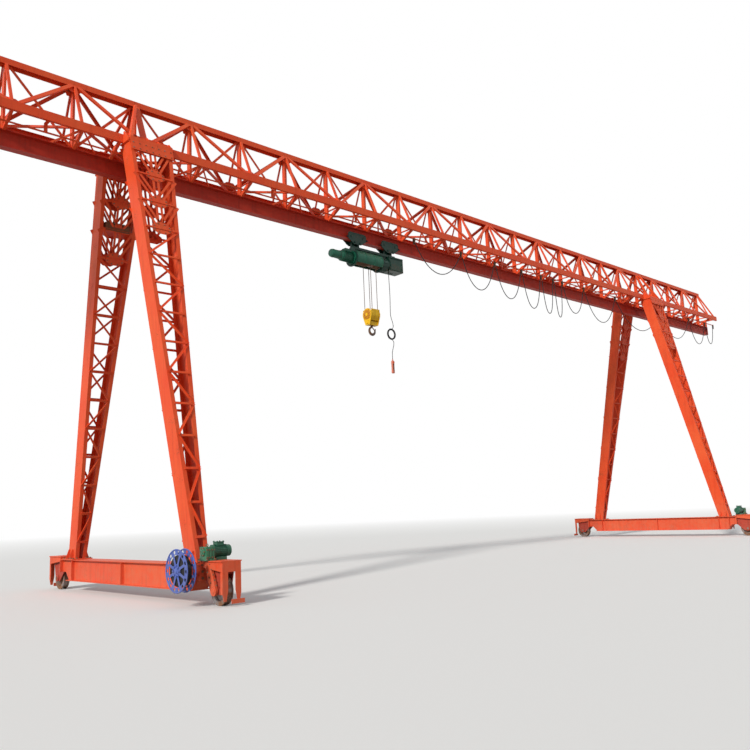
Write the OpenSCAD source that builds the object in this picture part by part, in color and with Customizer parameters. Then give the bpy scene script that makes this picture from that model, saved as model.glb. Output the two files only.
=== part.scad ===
// Truss gantry crane with an underslung rope hoist, in millimetres.
// The origin lies on the rail-top plane under the middle of the girder.
// X runs along the girder, Y along the rails and Z up. The front is the -Y side, the left support is at -X.

/* [Girder] */
// Length of one truss bay
bay = 1500; // [1350:10:1600]
// Number of bays between the two supports
span_bays = 16; // [12:2:18]
// Number of bays of each overhang
overhang_bays = 4; // [3:1:4]
// Height of the runway beam's underside above the rails
beam_z = 9560; // [9000:10:10000]
// Depth of the runway beam
beam_h = 400; // [320:10:440]
// Width of the runway beam's flanges
beam_w = 200; // [180:5:230]
// Thickness of the runway beam's flanges
beam_flange_t = 24; // [16:1:30]
// Thickness of the runway beam's web
beam_web_t = 16; // [10:1:20]
// Reach of the runway beam past the last truss node
beam_past = 790; // [700:10:850]
// Clear height between the runway beam's top and the side chords' underside
chord_lift = 220; // [180:10:300]
// Depth of the side chords
side_chord_h = 200; // [160:5:240]
// Flange width of the side chords
side_chord_w = 75; // [65:5:100]
// Wall thickness of the chords
chord_t = 10; // [8:1:14]
// Distance from the centre plane to a side chord's outer face
side_chord_y = 620; // [580:5:680]
// Reach of the side chords past the last truss node
side_chord_past = 760; // [650:10:800]
// Height of the top chord's crown above the side chords' top
truss_rise = 1220; // [1000:10:1400]
// Depth of the top chord
top_chord_h = 140; // [120:5:180]
// Width of the top chord
top_chord_w = 200; // [180:5:240]
// Reach of the top chord past the last truss node
top_chord_past = 210; // [150:10:400]

/* [Truss members] */
// Width of the posts in the sloping side planes
side_post_w = 60; // [50:5:90]
// Width of the diagonals in the sloping side planes
side_diagonal_w = 85; // [60:5:110]
// Width of the posts that stand above the legs
head_post_w = 150; // [100:5:180]
// Thickness of the bars in the sloping side planes
side_bar_t = 50; // [30:5:60]
// Width of the upright posts in the centre plane, across the girder
centre_post_w = 150; // [100:5:160]
// Width of the diagonals in the centre plane
centre_diagonal_w = 65; // [50:5:90]
// Thickness of the bars in the centre plane
centre_bar_t = 50; // [30:5:60]
// Width of the flat bars between the side chords
flat_bar_w = 55; // [40:5:80]
// Width of the struts that hang the runway beam from the side chords
hanger_w = 60; // [40:5:80]
// Thickness of the gusset plates
gusset_t = 12; // [8:1:20]
// Length of a gusset plate along its chord
gusset_l = 480; // [300:10:600]
// Height of a gusset plate
gusset_h = 210; // [150:10:300]

/* [Legs] */
// Distance from the centre plane to the middle of a leg at its foot
leg_foot_y = 2830; // [2600:10:3000]
// Distance from the centre plane to the middle of a leg at its head
leg_head_y = 660; // [650:5:690]
// Depth of a leg, from its front lattice plane to its back one
leg_depth = 410; // [340:10:420]
// Width of a leg across its chords at the foot
leg_foot_w = 264; // [240:2:300]
// Width of a leg across its chords at the head
leg_head_w = 1056; // [900:10:1100]
// Flange width of a leg chord
leg_flange_w = 90; // [70:5:100]
// Wall thickness of a leg chord
leg_wall = 12; // [8:1:16]
// Thickness of the lattice bars on a leg
leg_bar_t = 14; // [10:1:18]
// Width of the lattice bars on a leg
leg_bar_w = 52; // [40:2:60]
// Number of zigzag panels in the lower part of a leg
leg_panels = 10; // [8:1:12]
// Number of rows of eight-sided plates in the upper part of a leg
star_rows = 3; // [2:1:4]
// Share of the leg's length below its lowest tie
foot_share = 0.0467; // [0.03:0.001:0.07]
// Share of the leg's length above its top row of plates
head_share = 0.0915; // [0.07:0.001:0.12]
// Radius of an eight-sided plate, measured up the leg
star_r = 155; // [120:5:170]
// How much wider than high an eight-sided plate is
star_stretch = 1.6; // [1.2:0.05:1.8]
// Thickness of the foot and head plates of a leg
seat_t = 20; // [16:1:30]

/* [Base beams] */
// Height of a base beam's underside above the rails
base_z = 250; // [220:5:300]
// Height of a base beam
base_h = 500; // [440:10:560]
// Reach of a base beam past the middle of a leg's foot
base_past = 470; // [430:10:600]
// Width of a base beam's box
base_box_w = 300; // [260:10:340]
// Width of a base beam's flange plates
base_flange_w = 460; // [420:10:500]
// Thickness of a base beam's flange plates
base_flange_t = 16; // [12:1:24]
// Height by which the underside steps up at the ends
base_step = 180; // [120:10:220]
// Length of the stepped end
base_step_l = 350; // [300:10:400]

/* [Travel wheels] */
// Radius of the tread
tread_r = 250; // [220:5:260]
// Height of the wheel flanges over the tread
flange_h = 30; // [20:1:35]
// Width of the tread
tread_w = 100; // [80:5:110]
// Thickness of a wheel flange
flange_t = 20; // [15:1:25]
// Radius of the axle
axle_r = 40; // [35:1:50]
// Radial running clearance of the axle in its yoke
axle_gap = 0.06; // [0.02:0.01:0.1]
// Distance from the base beam's end plate to the wheel's centre
wheel_out = 384; // [360:2:420]
// Side gap between a wheel and its yoke plates
yoke_gap = 30; // [20:1:50]
// Thickness of the yoke plates
yoke_t = 20; // [16:1:25]
// Height of the yoke's top above the rails
yoke_top = 820; // [780:10:860]

/* [Cable reel] */
// Radius of the reel's outer rims
reel_r = 400; // [340:10:430]
// Width between the reel's two rims
reel_w = 270; // [220:10:300]
// Radius of the rim bars
reel_bar_r = 14; // [10:1:18]
// Number of spokes in each side of the reel
reel_spokes = 8; // [6:1:12]
// Radius of the wound cable
reel_pack_r = 285; // [240:5:320]
// Height of the reel's shaft above the rails
reel_z = 670; // [640:10:700]
// Radius of the reel's shaft
reel_shaft_r = 30; // [25:1:35]

/* [Hoist] */
// Place of the hoist along the girder at rest
hoist_x = -4500; // [-9000:50:9000]
// Distance from the hoist's middle to the left trolley
trolley_left_x = -440; // [-480:10:-400]
// Distance from the hoist's middle to the right trolley
trolley_right_x = 920; // [880:10:960]
// Length of a trolley's side plates
trolley_l = 720; // [640:10:760]
// Radius of a trolley wheel
trolley_wheel_r = 75; // [60:1:85]
// Height of the drum's axis below the runway beam's underside
drum_drop = 530; // [500:5:560]
// Radius of the rope drum
drum_r = 150; // [130:2:160]
// Length of the rope drum
drum_l = 1040; // [900:10:1100]
// Outer radius of the drum's shell
shell_r = 255; // [240:1:260]
// Thickness of the drum's shell
shell_t = 8; // [5:1:12]
// Radius of the lifting motor
motor_r = 165; // [140:5:180]
// Length of the lifting motor
motor_l = 450; // [400:10:500]
// Radius of the wire rope
rope_r = 9; // [7:0.5:11]
// Distance between the two rope sheaves
sheave_pitch = 220; // [200:5:240]
// Height of the sheaves' axle above the rails at rest
block_z = 7370; // [5000:10:7700]
// Throat radius of the hook
hook_throat_r = 75; // [60:1:85]
// Radius of the hook's bar
hook_bar_r = 36; // [30:1:40]
// Radius of the hook's shank
shank_r = 32; // [28:1:36]

/* [Festoon and pendant] */
// Distance from the centre plane to the festoon track
festoon_y = 430; // [425:1:440]
// Side of the festoon track's square bar
festoon_bar = 30; // [24:1:34]
// Radius of the festoon cable
festoon_cable_r = 14; // [10:1:16]
// Radius of the pendant cable
pendant_cable_r = 9; // [7:0.5:10]
// Radius of the pendant's hanging coil at the middle of its turns
coil_r = 150; // [130:5:160]

/* [Hidden] */

// A seat gap for pieces that only touch their neighbour
seat = 0.3;
big = 60000;
// Corners of a swept cable
sides = 8;

// Girder stations and levels
span = span_bays * bay;
half_bays = span_bays / 2 + overhang_bays;
girder_half = half_bays * bay;
beam_top = beam_z + beam_h;
side_chord_z = beam_top + chord_lift;
side_chord_top = side_chord_z + side_chord_h;
top_chord_top = side_chord_top + truss_rise;
top_chord_z = top_chord_top - top_chord_h;

// Blocks on the runway beam's lower flange that stop the trolleys
stop_in = 230;
stop_l = 120;
stop_h = 110;

// The sloping side plane runs from the middle of a side chord to the middle of the top chord's edge
web_foot = [side_chord_y - side_chord_w / 2, side_chord_z + side_chord_h / 2];
web_head = [top_chord_w * 0.3, top_chord_z + top_chord_h / 2];
web_slope = atan2(web_head.y - web_foot.y, web_foot.x - web_head.x);
web_len = norm(web_head - web_foot);
// Where a post of the centre plane narrows to pass between the side planes
post_neck_z = top_chord_z - 100;
post_neck_w = 100;
end_frame_t = 60;

// Leg line in the front view of one support
leg_z0 = base_z + base_h + seat_t;
leg_z1 = side_chord_z - seat_t;
leg_lean = atan2(leg_foot_y - leg_head_y, leg_z1 - leg_z0);
leg_len = norm([leg_foot_y - leg_head_y, leg_z1 - leg_z0]);
leg_pitch = leg_len * (1 - foot_share - head_share) / (leg_panels + star_rows - 1);
leg_bar_trim = 10;
leg_taper = atan2((leg_head_w - leg_foot_w) / 2, leg_len);
head_half_x = leg_head_w / 2 + 40;
head_out_y = leg_head_y + leg_depth / 2 + 30;
head_in_y = leg_head_y - leg_depth / 2 - 5;
haunch_t = 60;
haunch_head = 90;
shelf_z = 8560;
shelf_t = 10;

// Base beams
base_half_l = leg_foot_y + base_past;

// Wheels and yokes
wheel_r = tread_r + flange_h;
base_end_y = base_half_l + base_flange_t;
wheel_y = base_end_y + wheel_out;
wheel_half_w = tread_w / 2 + flange_t;
yoke_in = wheel_half_w + yoke_gap;
yoke_out = yoke_in + yoke_t;
boss_t = 30;
axle_half = yoke_out + boss_t + 10;
yoke_len = 774;
bearing_boss_r = axle_r * 2.1;
drive_z = 165;
sweeper_z = 60;

// Cable reel
reel_room = 285;
reel_plate_gap = 65;
reel_x = -span / 2 - base_flange_w / 2 - reel_w / 2 - reel_room;
reel_y = -(base_half_l + 40);
reel_plate_x = reel_x + reel_w / 2 + reel_plate_gap;

// Hoist
drum_z = beam_z - drum_drop;
drum_x0 = -drum_l / 2 - 40;
drum_x1 = drum_x0 + drum_l;
fall_y = drum_r + rope_r + seat;
fall_x = 125;
trolley_plate_y = beam_w / 2 + 18;
trolley_plate_t = 16;
frame_top_z = beam_z - 190;
frame_beam_h = 70;
end_plate_t = 20;
control_x0 = 800;
control_x1 = 1390;
control_z0 = drum_z - 180;
gearbox_l = control_x0 - drum_x1 - end_plate_t;
beam_room = frame_top_z - frame_beam_h - drum_z;
trolley_wheel_z = beam_z + beam_flange_t + trolley_wheel_r + seat;

// Hook block
sheave_r = fall_y - rope_r - seat;
cheek_x = sheave_pitch / 2 + 55;
cheek_t = 15;
block_r = sheave_r + 42;
trunnion_z = block_z - block_r - 70;
trunnion_h = 110;
bowl_z = trunnion_z - trunnion_h / 2 - hook_throat_r - 2 * hook_bar_r - 18;

// Pendant, in the hoist's own coordinates
pendant_x = 880;
pendant_y = -50;
coil_top = 7050;
coil_bundle_r = 28;
coil_z = coil_top - coil_r - coil_bundle_r;
pendant_top = 6100;
pendant_l = 440;
pendant_bend = 14;

// Festoon: where the carriers stand along the track and how deep each loop hangs below it
festoon_z = beam_top;
carrier_x = [-2800, -550, 1250, 2800, 4000, 4800, 5400, 6900, 9300, 13100, 16000, 17700, 18650];
loop_drop = [950, 1150, 1200, 1350, 1400, 1450, 1150, 1250, 1200, 1150, 1150, 1000];
carrier_h = 70;
carrier_l = 70;
loop_steps = 6;
loop_top = festoon_z - carrier_h - festoon_cable_r - seat;

// A straight bar of width w between two points of a plane, run on past both ends by half its width
module bar2(a, b, w) {
    d = b - a;
    translate(a) rotate(atan2(d.y, d.x)) translate([-w / 2, -w / 2]) square([norm(d) + w, w]);
}

// A straight bar of square section w between two points of space
module bar3(a, b, w) {
    d = b - a;
    translate(a)
        rotate([0, 0, atan2(d.y, d.x)])
        rotate([0, -atan2(d.z, norm([d.x, d.y])), 0])
        translate([0, -w / 2, -w / 2])
        cube([norm(d), w, w]);
}

// A box given by its lowest and highest corners
module span_box(a, b) {
    translate(a) cube(b - a);
}

// A profile drawn in the YZ plane and carried along X, centred on x = 0
module along_x(l) {
    rotate([90, 0, 90]) linear_extrude(l, center = true) children();
}

// A drawing in the XZ plane given a thickness along Y, centred on y = 0
module along_y(t) {
    rotate([90, 0, 0]) linear_extrude(t, center = true) children();
}

module red_paint() {
    color("orangered") children();
}

module green_paint() {
    color("seagreen") children();
}

// Rings of a tube of radius r along a list of points, with the same number of corners in each
function unit(v) = v / norm(v);
function tangent(path, i) = unit(path[min(i + 1, len(path) - 1)] - path[max(i - 1, 0)]);
function ring(path, i, r) = let (t = tangent(path, i), u = unit(cross(t, [0, 1, 0])), w = cross(t, u))
    [for (k = [0 : sides - 1]) path[i] + r * (cos(k * 360 / sides) * u + sin(k * 360 / sides) * w)];

module tube(path, r) {
    n = len(path);
    pts = [for (i = [0 : n - 1]) each ring(path, i, r)];
    walls = [for (i = [0 : n - 2], k = [0 : sides - 1])
        [i * sides + k, i * sides + (k + 1) % sides, (i + 1) * sides + (k + 1) % sides, (i + 1) * sides + k]];
    first = [for (k = [0 : sides - 1]) sides - 1 - k];
    last = [for (k = [0 : sides - 1]) (n - 1) * sides + k];
    polyhedron(pts, concat([first], walls, [last]));
}

// Girder

module runway_beam() {
    half = beam_w / 2;
    web = beam_web_t / 2;
    red_paint() {
        translate([0, 0, beam_z]) along_x(2 * (girder_half + beam_past) - 2 * gusset_t)
            union() {
                translate([-half, 0]) square([beam_w, beam_flange_t]);
                translate([-web, 0]) square([beam_web_t, beam_h]);
                translate([-half, beam_h - beam_flange_t]) square([beam_w, beam_flange_t]);
            }
        for (s = [-1, 1])
            translate([s * (girder_half + beam_past - gusset_t / 2), 0, beam_z + beam_h / 2])
                cube([gusset_t, beam_w, beam_h], center = true);
        for (s = [-1, 1], q = [-1, 1])
            translate([s * (girder_half + beam_past - stop_in), q * (half + web) / 2, beam_z + beam_flange_t])
                translate([0, 0, stop_h / 2]) cube([stop_l, half - web, stop_h], center = true);
    }
}

module top_chord() {
    w = top_chord_w / 2;
    red_paint()
        translate([0, 0, top_chord_z]) along_x(2 * (girder_half + top_chord_past))
        polygon([[-w, 0], [-w, top_chord_h], [w, top_chord_h], [w, 0], [w - chord_t, 0],
            [w - chord_t, top_chord_h - chord_t], [chord_t - w, top_chord_h - chord_t], [chord_t - w, 0]]);
}

module side_chord_front() {
    w = side_chord_w;
    h = side_chord_h;
    t = chord_t;
    red_paint()
        translate([0, -side_chord_y, side_chord_z]) along_x(2 * (girder_half + side_chord_past))
        polygon([[0, 0], [w, 0], [w, t], [t, t], [t, h - t], [w, h - t], [w, h], [0, h]]);
}

module side_chord_back() {
    mirror([0, 1, 0]) side_chord_front();
}

// The space that a side chord fills, with its open side closed
module side_chord_envelope() {
    l = girder_half + side_chord_past + bay;
    span_box([-l, -side_chord_y, side_chord_z], [l, side_chord_w - side_chord_y, side_chord_top]);
}

// Bars of one sloping side plane, drawn flat with the side chord on y = 0 and the top chord on y = web_len
module web_bars() {
    for (k = [-half_bays : half_bays])
        bar2([k * bay, 0], [k * bay, web_len], abs(k) == span_bays / 2 ? head_post_w : side_post_w);
    for (k = [1 - half_bays : 2 : half_bays - 1], s = [-1, 1])
        bar2([k * bay, web_len], [(k + s) * bay, 0], side_diagonal_w);
    for (s = [-1, 1])
        bar2([s * (girder_half + top_chord_past - side_diagonal_w), web_len],
            [s * (girder_half + side_chord_past - side_diagonal_w), 0], side_diagonal_w);
}

module web_gussets() {
    for (k = [-half_bays : 2 : half_bays])
        translate([k * bay, 0])
            polygon([[-gusset_l / 2, 0], [gusset_l / 2, 0], [gusset_l / 2, gusset_h * 0.6],
                [gusset_l / 4, gusset_h], [-gusset_l / 4, gusset_h], [-gusset_l / 2, gusset_h * 0.6]]);
    for (k = [1 - half_bays : 2 : half_bays - 1])
        translate([k * bay, web_len])
            polygon([[-gusset_l / 2, 0], [gusset_l / 2, 0], [gusset_l / 4, -gusset_h], [-gusset_l / 4, -gusset_h]]);
}

module web_lattice_front() {
    red_paint()
        intersection() {
            translate([0, -web_foot.x, web_foot.y]) rotate([web_slope, 0, 0]) {
                linear_extrude(side_bar_t, center = true) web_bars();
                translate([0, 0, -side_bar_t / 2]) linear_extrude(gusset_t) web_gussets();
            }
            span_box([-big, -big, side_chord_top], [big, big, top_chord_z]);
        }
}

module web_lattice_back() {
    mirror([0, 1, 0]) web_lattice_front();
}

// Upright posts and diagonals between the top chord and the runway beam
module centre_lattice() {
    foot = beam_top;
    head = top_chord_top - chord_t;
    w = centre_post_w / 2;
    n = post_neck_w / 2;
    red_paint() {
        for (k = [-half_bays : half_bays])
            translate([k * bay, 0, 0]) along_x(centre_bar_t)
                polygon([[-w, foot], [w, foot], [w, post_neck_z], [n, post_neck_z + 50], [n, head], [-n, head],
                    [-n, post_neck_z + 50], [-w, post_neck_z]]);
        intersection() {
            along_y(centre_bar_t)
                for (k = [-half_bays : 2 : half_bays], s = [-1, 1])
                    if (abs(k + s) <= half_bays)
                        bar2([k * bay, head], [(k + s) * bay, foot], centre_diagonal_w);
            span_box([-big, -big, foot], [big, big, head]);
        }
    }
}

// Cross ties beside the posts and a zigzag between the two side chords
module flat_lattice() {
    reach = side_chord_y - side_chord_w;
    tie_x = (centre_bar_t + flat_bar_w) / 2;
    z = side_chord_z + side_chord_h / 2;
    red_paint()
        translate([0, 0, z]) linear_extrude(centre_bar_t, center = true)
        intersection() {
            union() {
                for (k = [-half_bays : half_bays])
                    translate([k * bay + (k < 0 ? 1 : -1) * tie_x, 0])
                        square([flat_bar_w, 2 * reach], center = true);
                for (k = [-half_bays : half_bays - 1])
                    bar2([k * bay, (k % 2 == 0 ? 1 : -1) * reach], [(k + 1) * bay, (k % 2 == 0 ? -1 : 1) * reach],
                        flat_bar_w);
            }
            square([2 * girder_half + bay, 2 * reach], center = true);
        }
}

// Struts from the side chords down to the runway beam's top flange
module beam_hangers() {
    hang_y = side_chord_y - side_chord_w / 2;
    high = side_chord_z + hanger_w;
    foot_y = (beam_w + centre_post_w) / 4;
    red_paint()
        difference() {
            for (k = [-half_bays : half_bays], s = [-1, 1]) {
                if (abs(k) == span_bays / 2)
                    for (x = [-1, 1] * (head_half_x + hanger_w))
                        bar3([k * bay + x, s * hang_y, high], [k * bay + x, s * foot_y, beam_top], hanger_w);
                else
                    bar3([k * bay, s * hang_y, high], [k * bay, s * foot_y, beam_top], hanger_w);
                if (abs(k) % 2 == 1)
                    for (q = [-1, 1])
                        bar3([k * bay, s * hang_y, high], [k * bay + q * bay / 3, s * beam_w * 0.3, beam_top],
                            hanger_w * 0.75);
            }
            side_chord_envelope();
            mirror([0, 1, 0]) side_chord_envelope();
            span_box([-big, -big, beam_z], [big, big, beam_top]);
            span_box([-big, -centre_bar_t / 2, beam_z], [big, centre_bar_t / 2, top_chord_top]);
            for (k = [-half_bays : half_bays])
                span_box([k * bay - hanger_w, -centre_post_w / 2, beam_z],
                    [k * bay + hanger_w, centre_post_w / 2, top_chord_top]);
        }
}

// Upright frames that tie the two side chords and the runway beam together at the girder's ends
module girder_end_frames() {
    x = girder_half + side_chord_past;
    in_y = side_chord_y - side_chord_w;
    t = end_frame_t;
    red_paint()
        for (s = [-1, 1])
            translate([s * (x - t / 2), 0, 0]) {
                span_box([-t / 2, -in_y, side_chord_z + 60], [t / 2, in_y, side_chord_z + 140]);
                span_box([-t / 2, -beam_w / 2, beam_top], [t / 2, beam_w / 2, side_chord_z + 60]);
            }
}

// Supports

// Puts a front leg's piece under one of the four leg heads: sx is -1 on the left, sy is -1 at the front
module at_leg(sx, sy) {
    translate([sx * span / 2, 0, 0]) mirror([0, (sy + 1) / 2, 0]) children();
}

// Stands a leg's own drawing on its foot and leans it in under the girder
module lean_in() {
    translate([0, -leg_foot_y, leg_z0]) rotate([-leg_lean, 0, 0]) children();
}

function leg_outer(z) = leg_foot_w / 2 + (leg_head_w - leg_foot_w) / 2 * z / leg_len;
function tie_z(i) = leg_len * foot_share + i * leg_pitch;

// A strip of width w along the outer edge of the right chord, from below the foot to above the head
module edge_strip(w) {
    z0 = -leg_depth;
    z1 = leg_len + leg_depth;
    polygon([[leg_outer(z0) - w, z0], [leg_outer(z0), z0], [leg_outer(z1), z1], [leg_outer(z1) - w, z1]]);
}

// The height between the foot plate and the head plate
module leg_slice() {
    span_box([-bay, -big, leg_z0], [bay, big, leg_z1]);
}

module leg_chords() {
    red_paint()
        intersection() {
            lean_in()
                for (s = [0, 1])
                    mirror([s, 0, 0]) {
                        along_y(leg_depth) edge_strip(leg_wall);
                        for (q = [-1, 1])
                            translate([0, q * (leg_depth - leg_wall) / 2, 0]) along_y(leg_wall) edge_strip(leg_flange_w);
                    }
            leg_slice();
        }
}

// Two bars side by side
module twin_bar(a, b, w, gap) {
    d = b - a;
    n = [-d.y, d.x] / norm(d) * (w + gap) / 2;
    bar2(a + n, b + n, w);
    bar2(a - n, b - n, w);
}

// One lattice plane of a leg, drawn flat with the foot on y = 0, its bars still untrimmed; turn is 1 or -1 and sets
// which way the lowest diagonal rises
module leg_bars(turn) {
    for (i = [0 : leg_panels + star_rows - 1]) {
        z = tie_z(i);
        bar2([-leg_outer(z), z], [leg_outer(z), z], leg_bar_w);
    }
    for (i = [0 : leg_panels - 1]) {
        rise = turn * (i % 2 == 0 ? 1 : -1);
        bar2([-rise * leg_outer(tie_z(i)), tie_z(i)], [rise * leg_outer(tie_z(i + 1)), tie_z(i + 1)], leg_bar_w);
    }
    for (j = [0 : star_rows - 1]) {
        z0 = tie_z(leg_panels + j);
        z1 = j == star_rows - 1 ? leg_len : tie_z(leg_panels + j + 1);
        translate([0, z0]) scale([star_stretch, 1]) rotate(22.5) circle(r = star_r, $fn = 8);
        for (x = [-leg_outer(z1), 0, leg_outer(z1)])
            twin_bar([0, z0], [x, z1], leg_bar_w * 0.85, leg_bar_w * 1.3);
    }
}

// The bars trimmed a little inside the chords' outer edges
module trimmed_leg_bars(turn) {
    z0 = -leg_depth;
    z1 = leg_len + leg_depth;
    in0 = leg_outer(z0) - leg_bar_trim;
    in1 = leg_outer(z1) - leg_bar_trim;
    intersection() {
        leg_bars(turn);
        polygon([[-in0, z0], [in0, z0], [in1, z1], [-in1, z1]]);
    }
}

module leg_lattice(sx) {
    red_paint()
        for (sy = [-1, 1])
            at_leg(sx, sy)
            intersection() {
                lean_in()
                    for (q = [-1, 1])
                        translate([0, q * (leg_depth + leg_bar_t) / 2, 0]) along_y(leg_bar_t) trimmed_leg_bars(q * -sx);
                leg_slice();
            }
}

// Foot plate and its ribs under one leg
module leg_foot() {
    half_x = base_flange_w / 2 + 20;
    half_y = leg_depth / 2 + 110;
    rib_h = 220;
    rib_l = half_x - leg_foot_w / 2;
    translate([0, -leg_foot_y, leg_z0 - seat_t]) {
        span_box([-half_x, -half_y, 0], [half_x, half_y, seat_t]);
        for (s = [0, 1], y = [-leg_depth / 4, leg_depth / 4])
            mirror([s, 0, 0]) translate([leg_foot_w / 2 + rib_h * tan(leg_taper) + 1, y, seat_t]) along_y(gusset_t)
                polygon([[0, 0], [rib_l - rib_h * tan(leg_taper) - 1, 0], [30, rib_h], [0, rib_h]]);
    }
}

module leg_feet() {
    red_paint()
        for (sx = [-1, 1], sy = [-1, 1])
            at_leg(sx, sy) leg_foot();
}

module leg_head_plate() {
    span_box([-head_half_x, -head_out_y, leg_z1], [head_half_x, -head_in_y, side_chord_z]);
}

// Distance from the centre plane to the outer face of a sloping side plane at height z, with a seat gap
function web_face(z) = web_foot.x - (z - web_foot.y) / tan(web_slope) + side_bar_t / 2 / sin(web_slope) + seat;

// Head plate, panel and brackets that carry a side chord on one leg, and the haunch that rises to the top chord
module leg_head() {
    half_x = head_half_x;
    out_y = head_out_y;
    panel_t = 16;
    panel_h = side_chord_h + 60;
    face_y = side_chord_y + panel_t;
    leg_head_plate();
    span_box([-half_x, -face_y, side_chord_z], [half_x, -side_chord_y, side_chord_z + panel_h]);
    for (x = [-half_x + gusset_t / 2 : (2 * half_x - gusset_t) / 4 : half_x])
        translate([x, 0, side_chord_z]) along_x(gusset_t)
            polygon([[-face_y, 0], [-out_y, 0], [-out_y, 30], [-face_y - 40, panel_h], [-face_y, panel_h]]);
    along_x(haunch_t)
        polygon([[-face_y, side_chord_z], [-out_y, side_chord_z], [-web_face(top_chord_z) - haunch_head, top_chord_z],
            [-web_face(top_chord_z), top_chord_z], [-web_face(side_chord_z + panel_h), side_chord_z + panel_h],
            [-face_y, side_chord_z + panel_h]]);
}

module leg_heads() {
    red_paint()
        for (sx = [-1, 1], sy = [-1, 1])
            at_leg(sx, sy) leg_head();
}

// Base beams

module base_beam(sx) {
    z0 = base_z + base_flange_t;
    z1 = base_z + base_h - base_flange_t;
    y0 = base_half_l - base_step_l;
    y1 = base_half_l - base_step_l / 2;
    red_paint()
        translate([sx * span / 2, 0, 0]) {
            along_x(base_box_w)
                polygon([[-base_half_l, z1], [-base_half_l, z0 + base_step], [-y1, z0 + base_step], [-y0, z0],
                    [y0, z0], [y1, z0 + base_step], [base_half_l, z0 + base_step], [base_half_l, z1]]);
            span_box([-base_flange_w / 2, -base_half_l, z1], [base_flange_w / 2, base_half_l, z1 + base_flange_t]);
            span_box([-base_flange_w / 2, -y0, base_z], [base_flange_w / 2, y0, z0]);
            for (s = [-1, 1]) {
                translate([0, s * (base_half_l + base_flange_t / 2), 0])
                    span_box([-base_flange_w / 2, -base_flange_t / 2, z0 + base_step],
                        [base_flange_w / 2, base_flange_t / 2, z1 + base_flange_t]);
                for (y = [-leg_foot_y - leg_depth / 2, -leg_foot_y + leg_depth / 2, 0, leg_foot_y - leg_depth / 2])
                    translate([s * (base_flange_w + base_box_w) / 4, y, (z0 + z1) / 2])
                        cube([(base_flange_w - base_box_w) / 2, gusset_t, z1 - z0], center = true);
            }
        }
}

// Fork over one travel wheel, bolted to the base beam's end plate
module wheel_yoke() {
    low = base_z + base_flange_t + base_step;
    far = yoke_len;
    translate([0, base_end_y, 0])
        difference() {
            union() {
                for (s = [-1, 1]) {
                    translate([s * (yoke_in + yoke_t / 2), 0, 0]) along_x(yoke_t)
                        polygon([[0, low], [0, yoke_top], [far, yoke_top], [far, yoke_top - 240],
                            [wheel_out + 120, wheel_r - 70], [wheel_out - 120, wheel_r - 70]]);
                    translate([s * (yoke_out + boss_t / 2), wheel_out, wheel_r]) rotate([0, 90, 0])
                        cylinder(r = bearing_boss_r, h = boss_t, center = true, $fn = 48);
                }
                span_box([-yoke_out - 40, 0, yoke_top - yoke_t], [yoke_out + 40, far, yoke_top]);
                span_box([-yoke_out, 0, low], [yoke_out, yoke_t, yoke_top]);
                span_box([-yoke_out, far - yoke_t, yoke_top - 240], [yoke_out, far, yoke_top]);
                span_box([-70, far - yoke_t, sweeper_z], [70, far, yoke_top - 200]);
                span_box([-yoke_in, far - yoke_t, sweeper_z], [yoke_in, far + 30, sweeper_z + 90]);
            }
            translate([0, wheel_out, wheel_r]) rotate([0, 90, 0])
                cylinder(r = axle_r + axle_gap, h = 4 * axle_half, center = true, $fn = 48);
        }
}

module wheel_yokes() {
    red_paint()
        for (sx = [-1, 1], s = [0, 1])
            translate([sx * span / 2, 0, 0]) mirror([0, s, 0]) wheel_yoke();
}

// Double-flanged travel wheel with its axle
module travel_wheel(sx, sy) {
    hub_r = axle_r + 40;
    hub = wheel_half_w + 5;
    web = 18;
    rim_r = tread_r - 45;
    t = tread_w / 2;
    color("dimgray")
        translate([sx * span / 2, sy * wheel_y, wheel_r]) rotate([0, 90, 0])
        rotate_extrude($fn = 96)
        polygon([[0, -axle_half], [axle_r, -axle_half], [axle_r, -hub], [hub_r, -hub], [hub_r + 15, -web],
            [rim_r - 15, -web], [rim_r, -wheel_half_w], [wheel_r, -wheel_half_w], [wheel_r, -t - 6], [tread_r, -t],
            [tread_r, t], [wheel_r, t + 6], [wheel_r, wheel_half_w], [rim_r, wheel_half_w], [rim_r - 15, web],
            [hub_r + 15, web], [hub_r, hub], [axle_r, hub], [axle_r, axle_half], [0, axle_half]]);
}

// The drive stands on the front yoke of each support, with its reducer on the outer side
module at_drive(sx) {
    translate([sx * span / 2, -wheel_y + 260, yoke_top]) mirror([(sx + 1) / 2, 0, 0]) children();
}

module travel_motors() {
    r = 120;
    green_paint()
        for (sx = [-1, 1])
            at_drive(sx) {
                translate([-60, 0, drive_z]) rotate([0, 90, 0]) {
                    cylinder(r = r - 12, h = 310, $fn = 48);
                    cylinder(r = r, h = 30, $fn = 48);
                    translate([0, 0, 285]) cylinder(r = r, h = 25, $fn = 48);
                    cooling_fins(24, r, 12, 310);
                }
                translate([250, 0, drive_z]) rotate([0, 90, 0]) cylinder(r = r - 10, h = 70, $fn = 48);
                span_box([-20, -110, 0], [210, 110, 60]);
                span_box([20, -70, drive_z + 100], [170, 70, drive_z + 165]);
            }
}

// Thin ribs along a motor's axis, standing h high up to radius r
module cooling_fins(n, r, h, l) {
    for (i = [0 : n - 1])
        rotate(i * 360 / n) translate([r - h - 4, -2.5, 5]) cube([h + 4, 5, l - 10]);
}

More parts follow.
